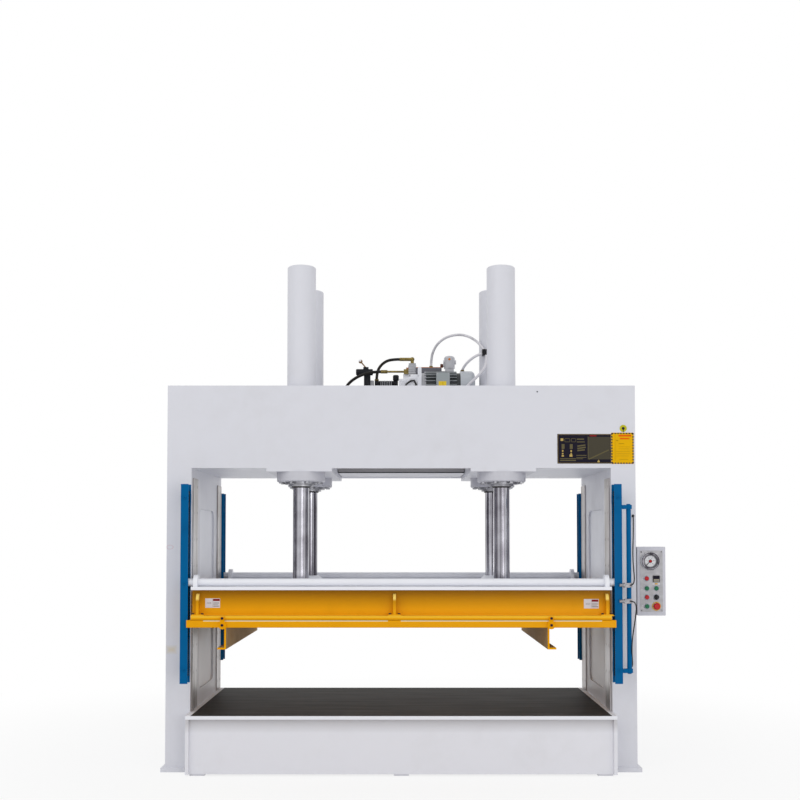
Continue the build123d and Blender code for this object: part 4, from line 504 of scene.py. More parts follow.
gold_marks = [(20, 139, 17, 16), (3, 3, 322, 1.5), (3, 177, 322, 1.5), (3, 3, 1.5, 175.5),
              (28, 73, 9, 11), (28, 57, 9, 9), (26, 43, 14, 10), (80, 70, 9, 13), (80, 55, 9, 9),
              (74, 42, 18, 14), (245, 8, 14, 9), (249, 17, 6, 6)]
olive_marks = [(16, 28, 98, 5), (16, 16, 98, 7), (26, 90, 18, 30), (76, 90, 18, 30),
               (44, 132, 34, 3), (44, 152, 34, 3), (44, 132, 3, 23), (75, 132, 3, 23),
               (84, 132, 30, 3), (84, 152, 30, 3), (84, 132, 3, 23), (111, 132, 3, 23),
               (120, 146, 44, 8), (120, 130, 48, 6), (122, 106, 50, 9, 8), (122, 92, 52, 9, 8),
               (122, 78, 46, 9, 6), (116, 48, 62, 5), (116, 36, 62, 4), (116, 28, 40, 4)]
plate_print("rating_gold_marks", gold_marks, BLACK_PLATE, plate_gold)
plate_print("rating_olive_lines", olive_marks, BLACK_PLATE, plate_olive)
plate_print("rating_chart_field", [(186, 26, 138, 138)], BLACK_PLATE, chart_olive)
plate_print("rating_chart_lines", [(186, 26, 4, 140), (186, 52, 135, 7, 25)], BLACK_PLATE,
            plate_olive, face=PRINT_FACE - PRINT_DEPTH)
plate_print("rating_red_bar", [(198, 167, 42, 8)], BLACK_PLATE, ink_red)

dash_marks = [(near, DASH_START + step * SIDE_DASH_PITCH, *SIDE_DASH)
              for step in range(SIDE_DASHES)
              for near in (DASH_EDGE, YELLOW_PLATE[2] - DASH_EDGE - SIDE_DASH[0])]
dash_marks += [(DASH_START + step * END_DASH_PITCH, near, *END_DASH)
               for step in range(END_DASHES)
               for near in (DASH_EDGE, YELLOW_PLATE[3] - DASH_EDGE - END_DASH[1])]
line_marks = [(24, 20, 2, 160), (46, 122, 34, 5), (46, 104, 70, 2), (46, 92, 62, 2),
              (30, 76, 84, 2), (30, 62, 86, 2), (30, 48, 80, 2), (50, 26, 54, 3), (30, 140, 14, 8)]
plate_print("notice_dashes", dash_marks, YELLOW_PLATE, ink_dark)
plate_print("notice_red_bars", [(46, 168, 78, 11), (54, 151, 58, 9)], YELLOW_PLATE, notice_red)
plate_print("notice_lines", line_marks, YELLOW_PLATE, notice_ochre)

tag_x, tag_z = TAG_CENTRE
tag_edge = [(TAG_RADIUS, 0.0), (TAG_RADIUS, 0.8), (TAG_RADIUS - 0.3, 1.0)]
fitted("round_tag", [turned_form(tag_edge, (tag_x, BEAM_FRONT, tag_z), sides=36)], tag_yellow)
tag_dot = turned_form([(9.0, 0.0), (9.0, 0.3), (8.7, 0.4)], (tag_x, PRINT_FACE, tag_z), sides=24)
tag_line = plate_form((tag_x, PRINT_FACE, tag_z - TAG_LINE_DROP), *TAG_LINE_SIZE, PRINT_DEPTH,
                      corner=1.0, chamfer=0.1)
fitted("round_tag_dot", [tag_dot, tag_line], ink_dark)
plug_edge = [(PLUG_RADIUS, 0.0), (PLUG_RADIUS, 1.5), (PLUG_RADIUS - 1, 2.0)]
fitted("beam_plug", [turned_form(plug_edge, (PLUG_CENTRE[0], BEAM_FRONT, PLUG_CENTRE[1]),
                                 sides=16)], ink_dark)

# CYLINDERS
# Four long tubes with welded caps and bolted flanges. The tubes are sprayed white, the flanges
# under the carriers are painted a darker grey as painted shade, and the gland rings and bolts are
# bare turned steel.
TURNED_LIGHT = (0.52, 0.52, 0.55)
TURNED_DARK = (0.20, 0.20, 0.22)
FLANGE_SHADE_LOW, FLANGE_SHADE_HIGH = (-0.80, -0.50, 1.740), (0.80, 0.50, 1.8235)
CYLINDER_X, CYLINDER_Y = 625.0, 335.0
TUBE_TOP = 3113.0
GLAND_UNDERSIDE = 1736.0
WIPER_PROFILE = [(50.6, 0.0), (50.6, 7.0), (53.0, 8.5), (58.0, 5.0), (59.0, 0.0), (50.6, 0.0)]
PLUG_PROFILE = [(21.0, 0.0), (21.0, 9.0), (19.0, 11.0), (6.0, 11.0), (5.0, 8.0), (1.0, 8.0)]

turned_steel = worked("turned_steel", TURNED_LIGHT, TURNED_DARK, (8.0, 8.0, 160.0), metallic=0.8)
# The band round the flanges is darkened grey as painted shade under the cylinder carriers.
tube_paint = painted("tube_paint", WHITE_PAINT, WHITE_GRIME, 0.10,
                     layers=[zone(FLANGE_SHADE_LOW, FLANGE_SHADE_HIGH, 0.001, (0.56, 0.56, 0.61))])
wiper_rubber = painted("wiper_rubber", (0.020, 0.018, 0.018), (0.06, 0.05, 0.04), 0.5, shine=0.5)
finish(tube_paint, "cylinder_tubes")
finish(turned_steel, "gland_rings", "flange_bolts")
cylinder_places = [(x, y) for x in (-CYLINDER_X, CYLINDER_X) for y in (-CYLINDER_Y, CYLINDER_Y)]
fitted("rod_wipers", [turned_form(WIPER_PROFILE, (x, y, GLAND_UNDERSIDE), "-Z", sides=48)
                      for x, y in cylinder_places], wiper_rubber)
fitted("cylinder_plugs", [turned_form(PLUG_PROFILE, (x, y, TUBE_TOP), "+Z", sides=6)
                          for x, y in cylinder_places], turned_steel)

# PISTON RODS
# Four hard-chromed rods on bright white welded feet, whose upright dark and light streaks are
# painted reflections.

# The light and dark colours run in upright streaks that are painted reflections of the room.
rod_chrome = worked("rod_chrome", (0.74, 0.74, 0.80), (0.115, 0.105, 0.125), (95.0, 95.0, 0.30),
                    contrast=1.45, shine=0.16, metallic=0.85, bump=0.03)
finish(rod_chrome, "piston_rods")
finish(lit_white_paint, "rod_feet")

# TABLE
# A welded box with a thick top plate. The plate is ground and has gone dark with
# glue and rust in long brown streaks, and its painted edge shows as a white border.
UNDER_SHADOW_LOW, UNDER_SHADOW_HIGH = (-1.26, -0.70, 0.330), (1.26, -0.580, 0.340)
BORDER_INNER, BORDER_OUTER, BORDER_Y = 1.252, 1.30, 0.64
PLATE_LOW, PLATE_HIGH, PLATE_FACE = 0.33, 0.37, 0.3588

# The body takes a lighter copy of the white paint as painted light, and a painted shadow darkens
# its front just under the top plate's overhang.
table_paint = painted("table_paint", (0.780, 0.780, 0.830), WHITE_GRIME, 0.08,
                      layers=[zone(UNDER_SHADOW_LOW, UNDER_SHADOW_HIGH, 0.075, (0.52, 0.51, 0.53))])
border = [zone((left, -BORDER_Y, PLATE_LOW), (right, BORDER_Y, top), softness, BRIGHT_WHITE)
          for left, right, top, softness in (
              (-BORDER_OUTER, -BORDER_INNER, PLATE_HIGH, 0.002),
              (BORDER_INNER, BORDER_OUTER, PLATE_HIGH, 0.002),
              (-BORDER_OUTER, BORDER_OUTER, PLATE_FACE, 0.0004))]
ground_plate = worked("ground_plate", (0.034, 0.029, 0.025), (0.018, 0.014, 0.012),
                      (2.2, 26.0, 26.0), shine=0.55, metallic=0.0, specular=0.06, layers=border)
finish(table_paint, "table_body")
finish(ground_plate, "table_top")

# PLATEN
# A yellow welded frame between a white top plate and a yellow press plate. The web is darkened by a
# painted shadow under the top plate, and two small white labels with plain lines are on it.
YELLOW_PAINT = (0.830, 0.365, 0.000)
WEB_SHADOW_LOW, WEB_SHADOW_HIGH = (-2.0, -0.660, 1.104), (2.0, -0.630, 1.108)
FLANGE_HIGHLIGHT_LOW, FLANGE_HIGHLIGHT_HIGH = (-1.27, -0.712, 0.948), (1.27, -0.650, 0.957)
TIP_HIGHLIGHT_LOW, TIP_HIGHLIGHT_HIGH = (-1.25, -0.702, 1.056), (1.25, -0.668, 1.090)
RAIL_END_ZONE = ((-2.0, -0.760, 0.70), (2.0, -0.697, 1.0))
LIP_HIGHLIGHT_RUNS = ((-1.165, -0.080), (-0.003, 1.180))
LIP_FRONT, LIP_BACK, LIP_LOW, LIP_HIGH = -0.7015, -0.6985, 0.9245, 0.9312
WEB_FACE = -648.0
GUSSET_MIDDLES = (-1202.0, -40.0, 1215.0)
GUSSET_HALF = 8.0
GUSSET_LOW, GUSSET_HIGH = 956.0, 1084.0
GUSSET_BEAD, GUSSET_BEAD_PITCH = 3.5, 7.0
FOOT_TOP, FOOT_BOLT_SPREAD, FOOT_BOLT_Y = 965.0, 27.0, -680.0
CLAMP_MIDDLES = (-1051.0, 881.0)
CLAMP_BOLT_LEVELS = (903.0, 943.0)
CLAMP_FACE = -718.0
CAP_PROFILE = [(8.0, -1.0), (8.0, 5.0), (7.0, 6.0), (3.4, 6.0), (3.0, 4.0), (0.4, 4.0)]
LABEL_PLACES = ((-1163.0, 1001.0), (1083.0, 997.0))
LABEL_WIDTH, LABEL_HEIGHT, LABEL_DEPTH = 88.0, 56.0, 0.6

# Painted light on the yellow paint: a painted shadow on the web under the top plate, and painted
# highlights on the bottom flange's front edge, the gusset tips and the lip of the press plate.
web_painted_light = [zone(WEB_SHADOW_LOW, WEB_SHADOW_HIGH, 0.112, (0.300, 0.125, 0.000)),
              zone(FLANGE_HIGHLIGHT_LOW, FLANGE_HIGHLIGHT_HIGH, 0.004, (0.90, 0.52, 0.03)),
              zone(TIP_HIGHLIGHT_LOW, TIP_HIGHLIGHT_HIGH, 0.012, (0.92, 0.66, 0.15))]
web_painted_light += [zone((left, LIP_FRONT, LIP_LOW), (right, LIP_BACK, LIP_HIGH), 0.0006,
                    (0.82, 0.74, 0.48)) for left, right in LIP_HIGHLIGHT_RUNS]
yellow_paint = painted("yellow_paint", YELLOW_PAINT, (0.50, 0.21, 0.00), 0.2, shine=0.40,
                       specular=0.10, layers=web_painted_light)
# Behind their yellow front ends the rails are painted brown: painted shade.
rail_paint = painted("rail_paint", (0.400, 0.270, 0.125), (0.16, 0.11, 0.06), 0.4, shine=0.6,
                     specular=0.05, layers=[zone(*RAIL_END_ZONE, 0.006, YELLOW_PAINT)])
label_white = print_ink("label_white", (0.70, 0.67, 0.72))
finish(yellow_paint, "platen_frame", "press_plate")
finish(rail_paint, "hanging_rails")
finish(lit_white_paint, "platen_top_plate")
gusset_beads = [bead_form((x, WEB_FACE, GUSSET_LOW), (x, WEB_FACE, GUSSET_HIGH), GUSSET_BEAD,
                          GUSSET_BEAD_PITCH)
                for middle in GUSSET_MIDDLES for x in (middle - GUSSET_HALF, middle + GUSSET_HALF)]
fitted("gusset_welds", gusset_beads, yellow_paint, "platen")
bolt_caps = [turned_form(CAP_PROFILE, (middle + spread, FOOT_BOLT_Y, FOOT_TOP), "+Z", sides=18)
             for middle in GUSSET_MIDDLES for spread in (-FOOT_BOLT_SPREAD, FOOT_BOLT_SPREAD)]
bolt_caps += [turned_form(CAP_PROFILE, (middle, CLAMP_FACE, level), sides=18)
              for middle in CLAMP_MIDDLES for level in CLAMP_BOLT_LEVELS]
fitted("platen_bolt_caps", bolt_caps, ink_dark, "platen")

label_bar = [(46, 40, 40, 13)]
label_marks = [(48, 30, 34, 2), (48, 24, 36, 2), (48, 18, 30, 2), (48, 8, 36, 4),
               (43.5, 4, 1, 48), (10, 30, 26, 1.5), (10, 24, 26, 1.5)]
label_plates = [plate_form((left + LABEL_WIDTH / 2, WEB_FACE, low + LABEL_HEIGHT / 2),
                           LABEL_WIDTH, LABEL_HEIGHT, LABEL_DEPTH, corner=2.0)
                for left, low in LABEL_PLACES]
label_bars, label_lines = ([form for place in LABEL_PLACES
                            for form in printed(marks, place, WEB_FACE - LABEL_DEPTH)]
                           for marks in (label_bar, label_marks))
fitted("platen_labels", label_plates, label_white, "platen")
fitted("platen_label_bars", label_bars, ink_red, "platen")
fitted("platen_label_lines", label_lines, plate_olive, "platen")

# LEVELLING GEAR
# Four racks in blue channel housings on the frame, and two white shafts on the
# platen whose oiled steel pinions roll on them. Cap screws hold the housings.
HOUSING_MIDDLE = 1284.5
HOUSING_FRONT, HOUSING_REAR = -675.0, 695.0
HOUSING_SCREWS = (635.0, 1145.0, 1655.0)
RAIL_X, RAIL_Y = 1351.0, -650.0
RAIL_END_LOW, RAIL_END_HIGH = 618.0, 1611.0
HOUSING_SCREW = [(9.0, -1.0), (9.0, 5.0), (8.2, 6.0), (4.6, 6.0), (4.2, 3.0), (0.4, 3.0)]
END_CAP = [(13.0, -1.0), (13.0, 3.0), (11.0, 5.5), (4.0, 6.5), (0.5, 6.5)]

blue_paint = painted("blue_paint", (0.0, 0.112, 0.300), (0.0, 0.070, 0.190), 0.4, shine=0.40,
                     specular=0.05)
oiled_steel = worked("oiled_steel", (0.075, 0.075, 0.082), (0.020, 0.019, 0.020),
                     (30.0, 30.0, 30.0), metallic=0.8)
sensor_steel = worked("sensor_steel", (0.42, 0.41, 0.42), TURNED_DARK, (90.0, 90.0, 90.0),
                      contrast=1.2, metallic=0.5)
finish(blue_paint, "rack_housings", "sensor_rail")
finish(oiled_steel, "gear_racks", "front_pinions", "rear_pinions")
finish(lit_white_paint, "front_shaft", "rear_shaft", "shaft_bearings")
finish(sensor_steel, "height_sensors")
housing_screws = [turned_form(HOUSING_SCREW, (x, face, level), axis, sides=16)
                  for x in (-HOUSING_MIDDLE, HOUSING_MIDDLE) for level in HOUSING_SCREWS
                  for face, axis in ((HOUSING_FRONT, "-Y"), (HOUSING_REAR, "+Y"))]
rail_caps = [turned_form(END_CAP, (RAIL_X, RAIL_Y, RAIL_END_HIGH), "+Z"),
             turned_form(END_CAP, (RAIL_X, RAIL_Y, RAIL_END_LOW), "-Z")]
fitted("housing_screws", housing_screws, blue_paint)
fitted("sensor_rail_caps", rail_caps, blue_paint)

# CONTROL BOX
# A grey sheet box on the right post with a brushed panel, a pressure gauge in a dark
# bezel, a timer, a red lamp, and push buttons in moulded plastic with bright rings.
MOULDED_BLACK = (0.012, 0.012, 0.014)
PANEL_FACE = -477.0
GAUGE_X, GAUGE_Z = 1517.0, 1274.0
GAUGE_FACE, DIAL_FACE, POINTER_HUB = -493.0, -483.0, -488.0
BEZEL_PROFILE = [(40.5, -1.0), (40.5, 2.2), (43.0, 3.4), (48.0, 4.0), (53.0, 2.4), (54.5, 0.0),
                 (54.5, -1.0), (40.5, -1.0)]
SCALE_BAND = [(33.5, -0.2), (33.5, 0.2), (49.5, 0.2), (49.5, -0.2), (33.5, -0.2)]
HUB_CAP = [(8.0, 0.0), (8.0, 1.6), (6.6, 3.0), (3.0, 3.8), (0.4, 4.0)]
DIAL_MARKS, DIAL_START, DIAL_SWEEP = 25, math.radians(225), math.radians(270)
LONG_TICK, SHORT_TICK = (29.0, 7.0, 1.0), (30.5, 4.0, 0.5)
NUMBER_REACH, NUMBER_HEIGHT, NUMBER_STEP = 20.0, 7.0, 5
LEFT_COLUMN, RIGHT_COLUMN = 1495.0, 1553.0
LAMP_ROW, BUTTON_ROWS = 1169.0, (1109.0, 1055.0, 1000.0)
BUTTON_RIM, SELECTOR_RIM, EMERGENCY_RIM = (13.6, 17.5, 4.0), (15.8, 19.0, 4.0), (21.5, 27.0, 3.0)
LEGEND_SHIFT, LEGEND_DEPTH, TAB_ROW = 25.0, 0.5, 1136.0
LEGEND_FACE = PANEL_FACE - LEGEND_DEPTH
TIMER_FACE, SCREEN_ROW, KEYS_ROW, KEYS_DEPTH = -485.0, 1176.0, 1157.0, 0.8
TIMER_PLATE, KEY_SHIFTS = (34.0, 15.0), (-11.0, -3.5, 4.0, 11.5)
PANEL_SCREWS = ((1463.0, 1330.0), (1585.0, 1330.0), (1463.0, 975.0), (1585.0, 975.0))
PANEL_SCREW = [(4.5, -0.5), (4.5, 1.2), (3.8, 1.9), (1.6, 2.1), (1.2, 1.4), (0.3, 1.4)]
LOCK_PLACE = (1610.0, -400.0, 1164.0)
LOCK_KNOB = [(11.0, -1.0), (11.0, 1.5), (7.0, 2.5), (7.0, 9.0), (9.0, 10.0), (9.0, 13.0),
             (7.5, 14.5), (1.0, 14.8)]


def moulded(name, colour):
    """A moulded plastic finish with a trace of dust."""
    dust = tuple(0.8 * c + 0.012 for c in colour)
    return painted(name, colour, dust, 0.5, shine=0.28, specular=0.2)


def rim(x, z, inner, outer, height):
    """A turned ring on the panel: flat inside, rounded over its front edge."""
    profile = [(inner, 0.0), (inner, height - 0.6), (inner + 0.8, height),
               (outer - 1.2, height - 0.4), (outer, height * 0.4), (outer, 0.0), (inner, 0.0)]
    return turned_form(profile, (x, PANEL_FACE, z), sides=40)


def legend(x, z, width, height):
    """A thin bare plate beside a button."""
    return plate_form((x, PANEL_FACE, z), width, height, LEGEND_DEPTH, corner=0.8, chamfer=0.1)


def on_dial(mark, reach):
    """The angle of a mark on the dial, and its X and Z at the reach from the middle."""
    angle = DIAL_START - DIAL_SWEEP * mark / DIAL_MARKS
    return angle, GAUGE_X + reach * math.cos(angle), GAUGE_Z + reach * math.sin(angle)


def fine_line(x, face, z, length, width, turn=0.0, corner=0.2):
    """A thin printed line on the panel or the dial."""
    return plate_form((x, face, z), length, width, PRINT_DEPTH, corner=corner, chamfer=0.08,
                      rounds=1, turn=turn)


def dial_number(number, x, z):
    """A plain number as a thin closed mesh, centred on its place and standing on the dial."""
    letters = bpy.data.curves.new("dial_number", "FONT")
    letters.body = str(number)
    letters.size = NUMBER_HEIGHT
    letters.extrude = PRINT_DEPTH / 2
    letters.align_x, letters.align_y = "CENTER", "CENTER"
    holder = bpy.data.objects.new("dial_number", letters)
    flat = bpy.data.meshes.new_from_object(holder)
    drawn = np.empty(len(flat.vertices) * 3)
    flat.vertices.foreach_get("co", drawn)
    right, upward, out = drawn.reshape(-1, 3).T
    points = np.stack([x + right, DIAL_FACE - PRINT_DEPTH / 2 - out, z + upward], axis=1) / 1000
    flat.vertices.foreach_set("co", points.ravel())
    bpy.data.objects.remove(holder)
    bpy.data.curves.remove(letters)
    return flat


box_grey = painted("box_grey", (0.590, 0.590, 0.650), WHITE_GRIME, 0.12, shine=0.5)
panel_silver = worked("panel_silver", (0.430, 0.425, 0.440), (0.270, 0.265, 0.280),
                      (22.0, 2.0, 40.0), contrast=0.8, shine=0.42, metallic=0.35)
gauge_white = painted("gauge_white", (0.78, 0.78, 0.80), WHITE_GRIME, 0.06, shine=0.3)
black_plastic = moulded("black_plastic", MOULDED_BLACK)
red_plastic = moulded("red_plastic", (0.500, 0.002, 0.006))
green_plastic = moulded("green_plastic", (0.001, 0.150, 0.055))
yellow_plastic = moulded("yellow_plastic", (0.78, 0.42, 0.03))
bezel_chrome = worked("bezel_chrome", (0.34, 0.33, 0.36), (0.030, 0.026, 0.034),
                      (26.0, 26.0, 26.0), contrast=1.6, shine=0.18, metallic=0.9, bump=0.02)
ring_chrome = worked("ring_chrome", (0.60, 0.64, 0.72), (0.30, 0.32, 0.38), (60.0, 60.0, 60.0),
                     shine=0.25, metallic=0.6, bump=0.02)
dial_grey = print_ink("dial_grey", (0.25, 0.25, 0.27))
timer_beige = print_ink("timer_beige", (0.42, 0.37, 0.27))
finish(box_grey, "control_box")
finish(panel_silver, "control_panel")
finish(gauge_white, "gauge_case")
finish(black_plastic, "timer_display", "gauge_pointer", "selector_knob")
finish(red_plastic, "signal_lamp", "stop_button", "emergency_button")
finish(green_plastic, "upper_left_button", "upper_right_button", "lower_left_button")

fitted("gauge_bezel", [turned_form(BEZEL_PROFILE, (GAUGE_X, GAUGE_FACE, GAUGE_Z), sides=64)],
       bezel_chrome)
fitted("gauge_scale_band", [turned_form(SCALE_BAND, (GAUGE_X, DIAL_FACE, GAUGE_Z), sides=64)],
       dial_grey)
tick_marks = []
for mark in range(DIAL_MARKS + 1):
    reach, length, width = SHORT_TICK if mark % NUMBER_STEP else LONG_TICK
    angle, x, z = on_dial(mark, reach)
    tick_marks.append(fine_line(x, DIAL_FACE, z, length, width, angle))
fitted("gauge_ticks", tick_marks, ink_dark)

numbers = bmesh.new()
for mark in range(0, DIAL_MARKS + 1, NUMBER_STEP):
    number_mesh = dial_number(mark, *on_dial(mark, NUMBER_REACH)[1:])
    numbers.from_mesh(number_mesh)
    bpy.data.meshes.remove(number_mesh)
bmesh.ops.remove_doubles(numbers, verts=numbers.verts, dist=1e-7)
bmesh.ops.recalc_face_normals(numbers, faces=numbers.faces)
numbers_mesh = bpy.data.meshes.new("gauge_numbers")
numbers.to_mesh(numbers_mesh)
numbers.free()
dressed("gauge_numbers", numbers_mesh, ink_dark, "frame")
fitted("pointer_cap", [turned_form(HUB_CAP, (GAUGE_X, POINTER_HUB, GAUGE_Z))], red_plastic,
       "pointer")

button_rims = [rim(LEFT_COLUMN, row, *BUTTON_RIM) for row in (LAMP_ROW, *BUTTON_ROWS)]
button_rims += [rim(RIGHT_COLUMN, BUTTON_ROWS[0], *BUTTON_RIM),
                rim(RIGHT_COLUMN, BUTTON_ROWS[1], *SELECTOR_RIM)]
fitted("button_rims", button_rims, ring_chrome)
fitted("emergency_rim", [rim(RIGHT_COLUMN, BUTTON_ROWS[2], *EMERGENCY_RIM)], yellow_plastic)
legends = [legend(LEFT_COLUMN - LEGEND_SHIFT, row, 7.0, 14.0) for row in (LAMP_ROW, *BUTTON_ROWS)]
legends += [legend(RIGHT_COLUMN, BUTTON_ROWS[1] + LEGEND_SHIFT, 26.0, 5.0),
            legend(RIGHT_COLUMN, TAB_ROW, 46.0, 9.0)]
fitted("legend_plates", legends, label_white)
legend_lines = [fine_line(LEFT_COLUMN - LEGEND_SHIFT + shift, LEGEND_FACE, row, 0.8, 10.0)
                for row in (LAMP_ROW, *BUTTON_ROWS) for shift in (-1.6, 1.2)]
legend_lines += [fine_line(RIGHT_COLUMN, LEGEND_FACE, BUTTON_ROWS[1] + LEGEND_SHIFT, 20.0, 1.0)]
fitted("legend_lines", legend_lines, ink_dark)

fitted("timer_screen", [plate_form((RIGHT_COLUMN, TIMER_FACE, SCREEN_ROW), *TIMER_PLATE, 1.0)],
       plate_black)
fitted("timer_keys_plate", [plate_form((RIGHT_COLUMN, TIMER_FACE, KEYS_ROW), *TIMER_PLATE,
                                       KEYS_DEPTH)], timer_beige)
timer_keys = [plate_form((RIGHT_COLUMN + shift, TIMER_FACE - KEYS_DEPTH, KEYS_ROW - 1), 6.0, 5.0,
                         1.0, corner=1.0) for shift in KEY_SHIFTS]
fitted("timer_keys", timer_keys, dial_grey)
fitted("timer_tab", [plate_form((RIGHT_COLUMN, LEGEND_FACE, TAB_ROW + 0.5), 17.0, 7.5, 1.5)],
       yellow_plastic)
fitted("panel_screws", [turned_form(PANEL_SCREW, (x, PANEL_FACE, z), sides=16)
                        for x, z in PANEL_SCREWS], bezel_chrome)
fitted("box_lock", [turned_form(LOCK_KNOB, LOCK_PLACE, "+X", sides=24)], ring_chrome)

# OIL TANK AND POWER UNIT
# A welded tank between the beams, with a finned motor, a pump, a valve block, a
# manifold and a pressure valve on its lid. The castings are grey and black.
CAST_GRIME = (0.060, 0.066, 0.070)
GAP_SHADE = (0.016, 0.020, 0.022)
PALE_CAST = (0.400, 0.405, 0.430)
MOTOR_Y, MOTOR_Z, FIN_ROOT = 0.330, 2.458, 0.0935
END_SHIELD = ((0.130, 0.20, 2.30), (0.168, 0.46, 2.60))
FILTER_ZONE = ((0.050, 0.440, 2.530), (0.1015, 0.520, 2.650))
CONDUIT_GLANDS = ((0.52, 0.20, 2.60), (0.62, 0.30, 2.75))
CABLE_GLANDS = ((1.30, -0.70, 0.50), (1.45, -0.30, 1.70))
LEVER_BALL = ((-0.30, 0.33, 2.634), (-0.277, 0.37, 2.66))
TANK_SHADOW = ((-0.43, 0.10, 1.840), (0.43, 0.120, 1.895))
TANK_GAP_SHADE = ((-0.43, 0.10, 1.845), (0.43, 0.122, 1.857))
LID_TOP, LID_FRONT, LID_REAR = 2346.0, 107.0, 580.0
LID_BOLT_INSET, LID_BOLT_COLUMNS = 16.0, np.linspace(-400.0, 400.0, 7)
HEX_BOLT = [(8.0, 0.0), (8.0, 5.0), (7.2, 6.0), (1.0, 6.0)]
WASHER, WASHER_TOP = [(11.0, -0.5), (11.0, 1.2), (10.6, 1.5), (1.0, 1.5)], 1.2
BREATHER = [(24.0, -1.0), (24.0, 6.0), (17.0, 8.0), (17.0, 30.0), (31.0, 34.0), (34.0, 40.0),
            (34.0, 58.0), (30.0, 64.0), (12.0, 67.0), (1.0, 67.5)]
BREATHER_PLACE = (-330.0, 480.0, LID_TOP)
TERMINAL_FACE, TERMINAL_LEVEL, TERMINAL_LABEL_DEPTH = 180.0, 2458.0, 0.8
TERMINAL_SCREWS = [(x, z) for x in (244.0, 320.0) for z in (2445.0, 2526.0)]
PIPE_STOPS, PIPE_Y, PIPE_LEVEL, PIPE_RADIUS = (104.0, 160.0, 220.0, 281.0), 452.0, 2609.5, 3.5
FILTER_X, FILTER_Y, FILTER_LEVELS = 77.0, 485.0, np.arange(2545.0, 2625.0, 13.0)
FILTER_NUT = [(9.5, -2.0), (9.5, 8.0), (8.4, 9.5), (5.0, 9.5), (5.0, 13.0), (0.5, 13.5)]
FILTER_NUT_PLACES = ((49.0, 470.0, 2568.0), (49.0, 470.0, 2604.0))
VALVE_PLUG = [(8.0, -2.0), (8.0, 2.0), (6.5, 3.0), (0.5, 3.2)]
VALVE_PLUG_PLACE = (336.0, 447.5, 2668.0)
REDUCER_X, REDUCER_Y, REDUCER_RING = -217.0, 450.0, 60.0
COIL_SOCKET = [(20.0, -1.0), (20.0, 14.0), (15.0, 18.0), (15.0, 50.0), (21.0, 54.0), (21.0, 84.0),
               (17.0, 90.0), (1.0, 91.0)]
COIL_SOCKET_PLACE = (-38.0, 455.0, 2466.0)
COIL_Y, COIL_LEVEL, COIL_RIB_STOPS = 455.0, 2470.0, np.arange(-142.0, -66.0, 12.0)
BRACKET_Y, BRACKET_SLOPE = 236.0, math.radians(17)
BRACKET_HOSE_RADIUS, BRACKET_HOSE_Y = 6.5, 238.0
BRACKET_HOSE = [(14.0, 2350.0), (16.0, 2420.0), (34.0, 2462.0), (66.0, 2486.0), (88.0, 2488.0),
                (100.0, 2462.0), (104.0, 2400.0), (104.0, 2350.0)]


def bar_form(points, radius, sides=14):
    """A round bar: a circle of the given radius stands square to the mean direction at each
    point of the path."""
    points = np.array(points, float)
    along = np.gradient(points, axis=0)
    along = along / np.linalg.norm(along, axis=1)[:, None]
    helper = np.where(np.abs(along[:, 1:2]) < 0.9, [[0.0, 1.0, 0.0]], [[1.0, 0.0, 0.0]])
    side = np.cross(along, helper)
    side = side / np.linalg.norm(side, axis=1)[:, None]
    up = np.cross(side, along)
    angle = np.linspace(0.0, 2 * np.pi, sides, endpoint=False)
    ring = np.cos(angle)[None, :, None] * side[:, None] + np.sin(angle)[None, :, None] * up[:, None]
    return points[:, None] + radius * ring


def near_axle(radius, soft, colour):
    """A colour layer closer to the motor's axle than the radius, measured square to X: its mask
    maker and its colour."""
    def make(tree):
        centred = add(tree, "Mapping", Vector=add(tree, "TexCoord").outputs["Object"],
                      Location=(0.0, -MOTOR_Y, -MOTOR_Z))
        flat = add(tree, "VectorMath", centred, (0.0, 1.0, 1.0), operation="MULTIPLY")
        away = add(tree, "VectorMath", flat, operation="LENGTH").outputs["Value"]
        return add(tree, "MapRange", Value=away, From_Min=radius, From_Max=radius + soft,
                   To_Min=1.0, To_Max=0.0)
    return make, colour


# The fin roots near the axle are darkened as painted shade between the fins.
motor_grey = painted("motor_grey", (0.300, 0.320, 0.335), CAST_GRIME, 0.4, shine=0.4,
                     layers=[near_axle(FIN_ROOT, 0.004, GAP_SHADE),
                             zone(*END_SHIELD, 0.002, PALE_CAST)])
pale_cast = painted("pale_cast", PALE_CAST, CAST_GRIME, 0.5, shine=0.45)
box_cast = painted("box_cast", (0.340, 0.375, 0.385), CAST_GRIME, 0.25, shine=0.4)
cowl_silver = painted("cowl_silver", (0.500, 0.530, 0.570), CAST_GRIME, 0.3, shine=0.25)
valve_pale = painted("valve_pale", (0.600, 0.605, 0.640), CAST_GRIME, 0.35, shine=0.35)
block_black = painted("block_black", (0.014, 0.015, 0.019), (0.045, 0.045, 0.05), 0.6, shine=0.4,
                      specular=0.12)
manifold_grey = painted("manifold_grey", (0.120, 0.120, 0.145), (0.03, 0.03, 0.035), 0.5, shine=0.4,
                        layers=[zone(*FILTER_ZONE, 0.0005, PALE_CAST)])
brass = worked("brass", (0.36, 0.27, 0.07), (0.10, 0.07, 0.02), (60.0, 60.0, 60.0),
               contrast=1.4, metallic=0.6,
               layers=[zone(*glands, 0.001, MOULDED_BLACK)
                       for glands in (CONDUIT_GLANDS, CABLE_GLANDS)])
lever_paint = painted("lever_paint", (0.300, 0.165, 0.060), CAST_GRIME, 0.3, shine=0.3,
                      layers=[zone(*LEVER_BALL, 0.001, BRIGHT_WHITE)])
copper = worked("copper", (0.50, 0.20, 0.11), (0.22, 0.07, 0.04), (40.0, 60.0, 60.0), shine=0.3,
                metallic=0.7)
brown_plastic = moulded("brown_plastic", (0.105, 0.026, 0.010))
orange_plastic = moulded("orange_plastic", (0.75, 0.22, 0.02))
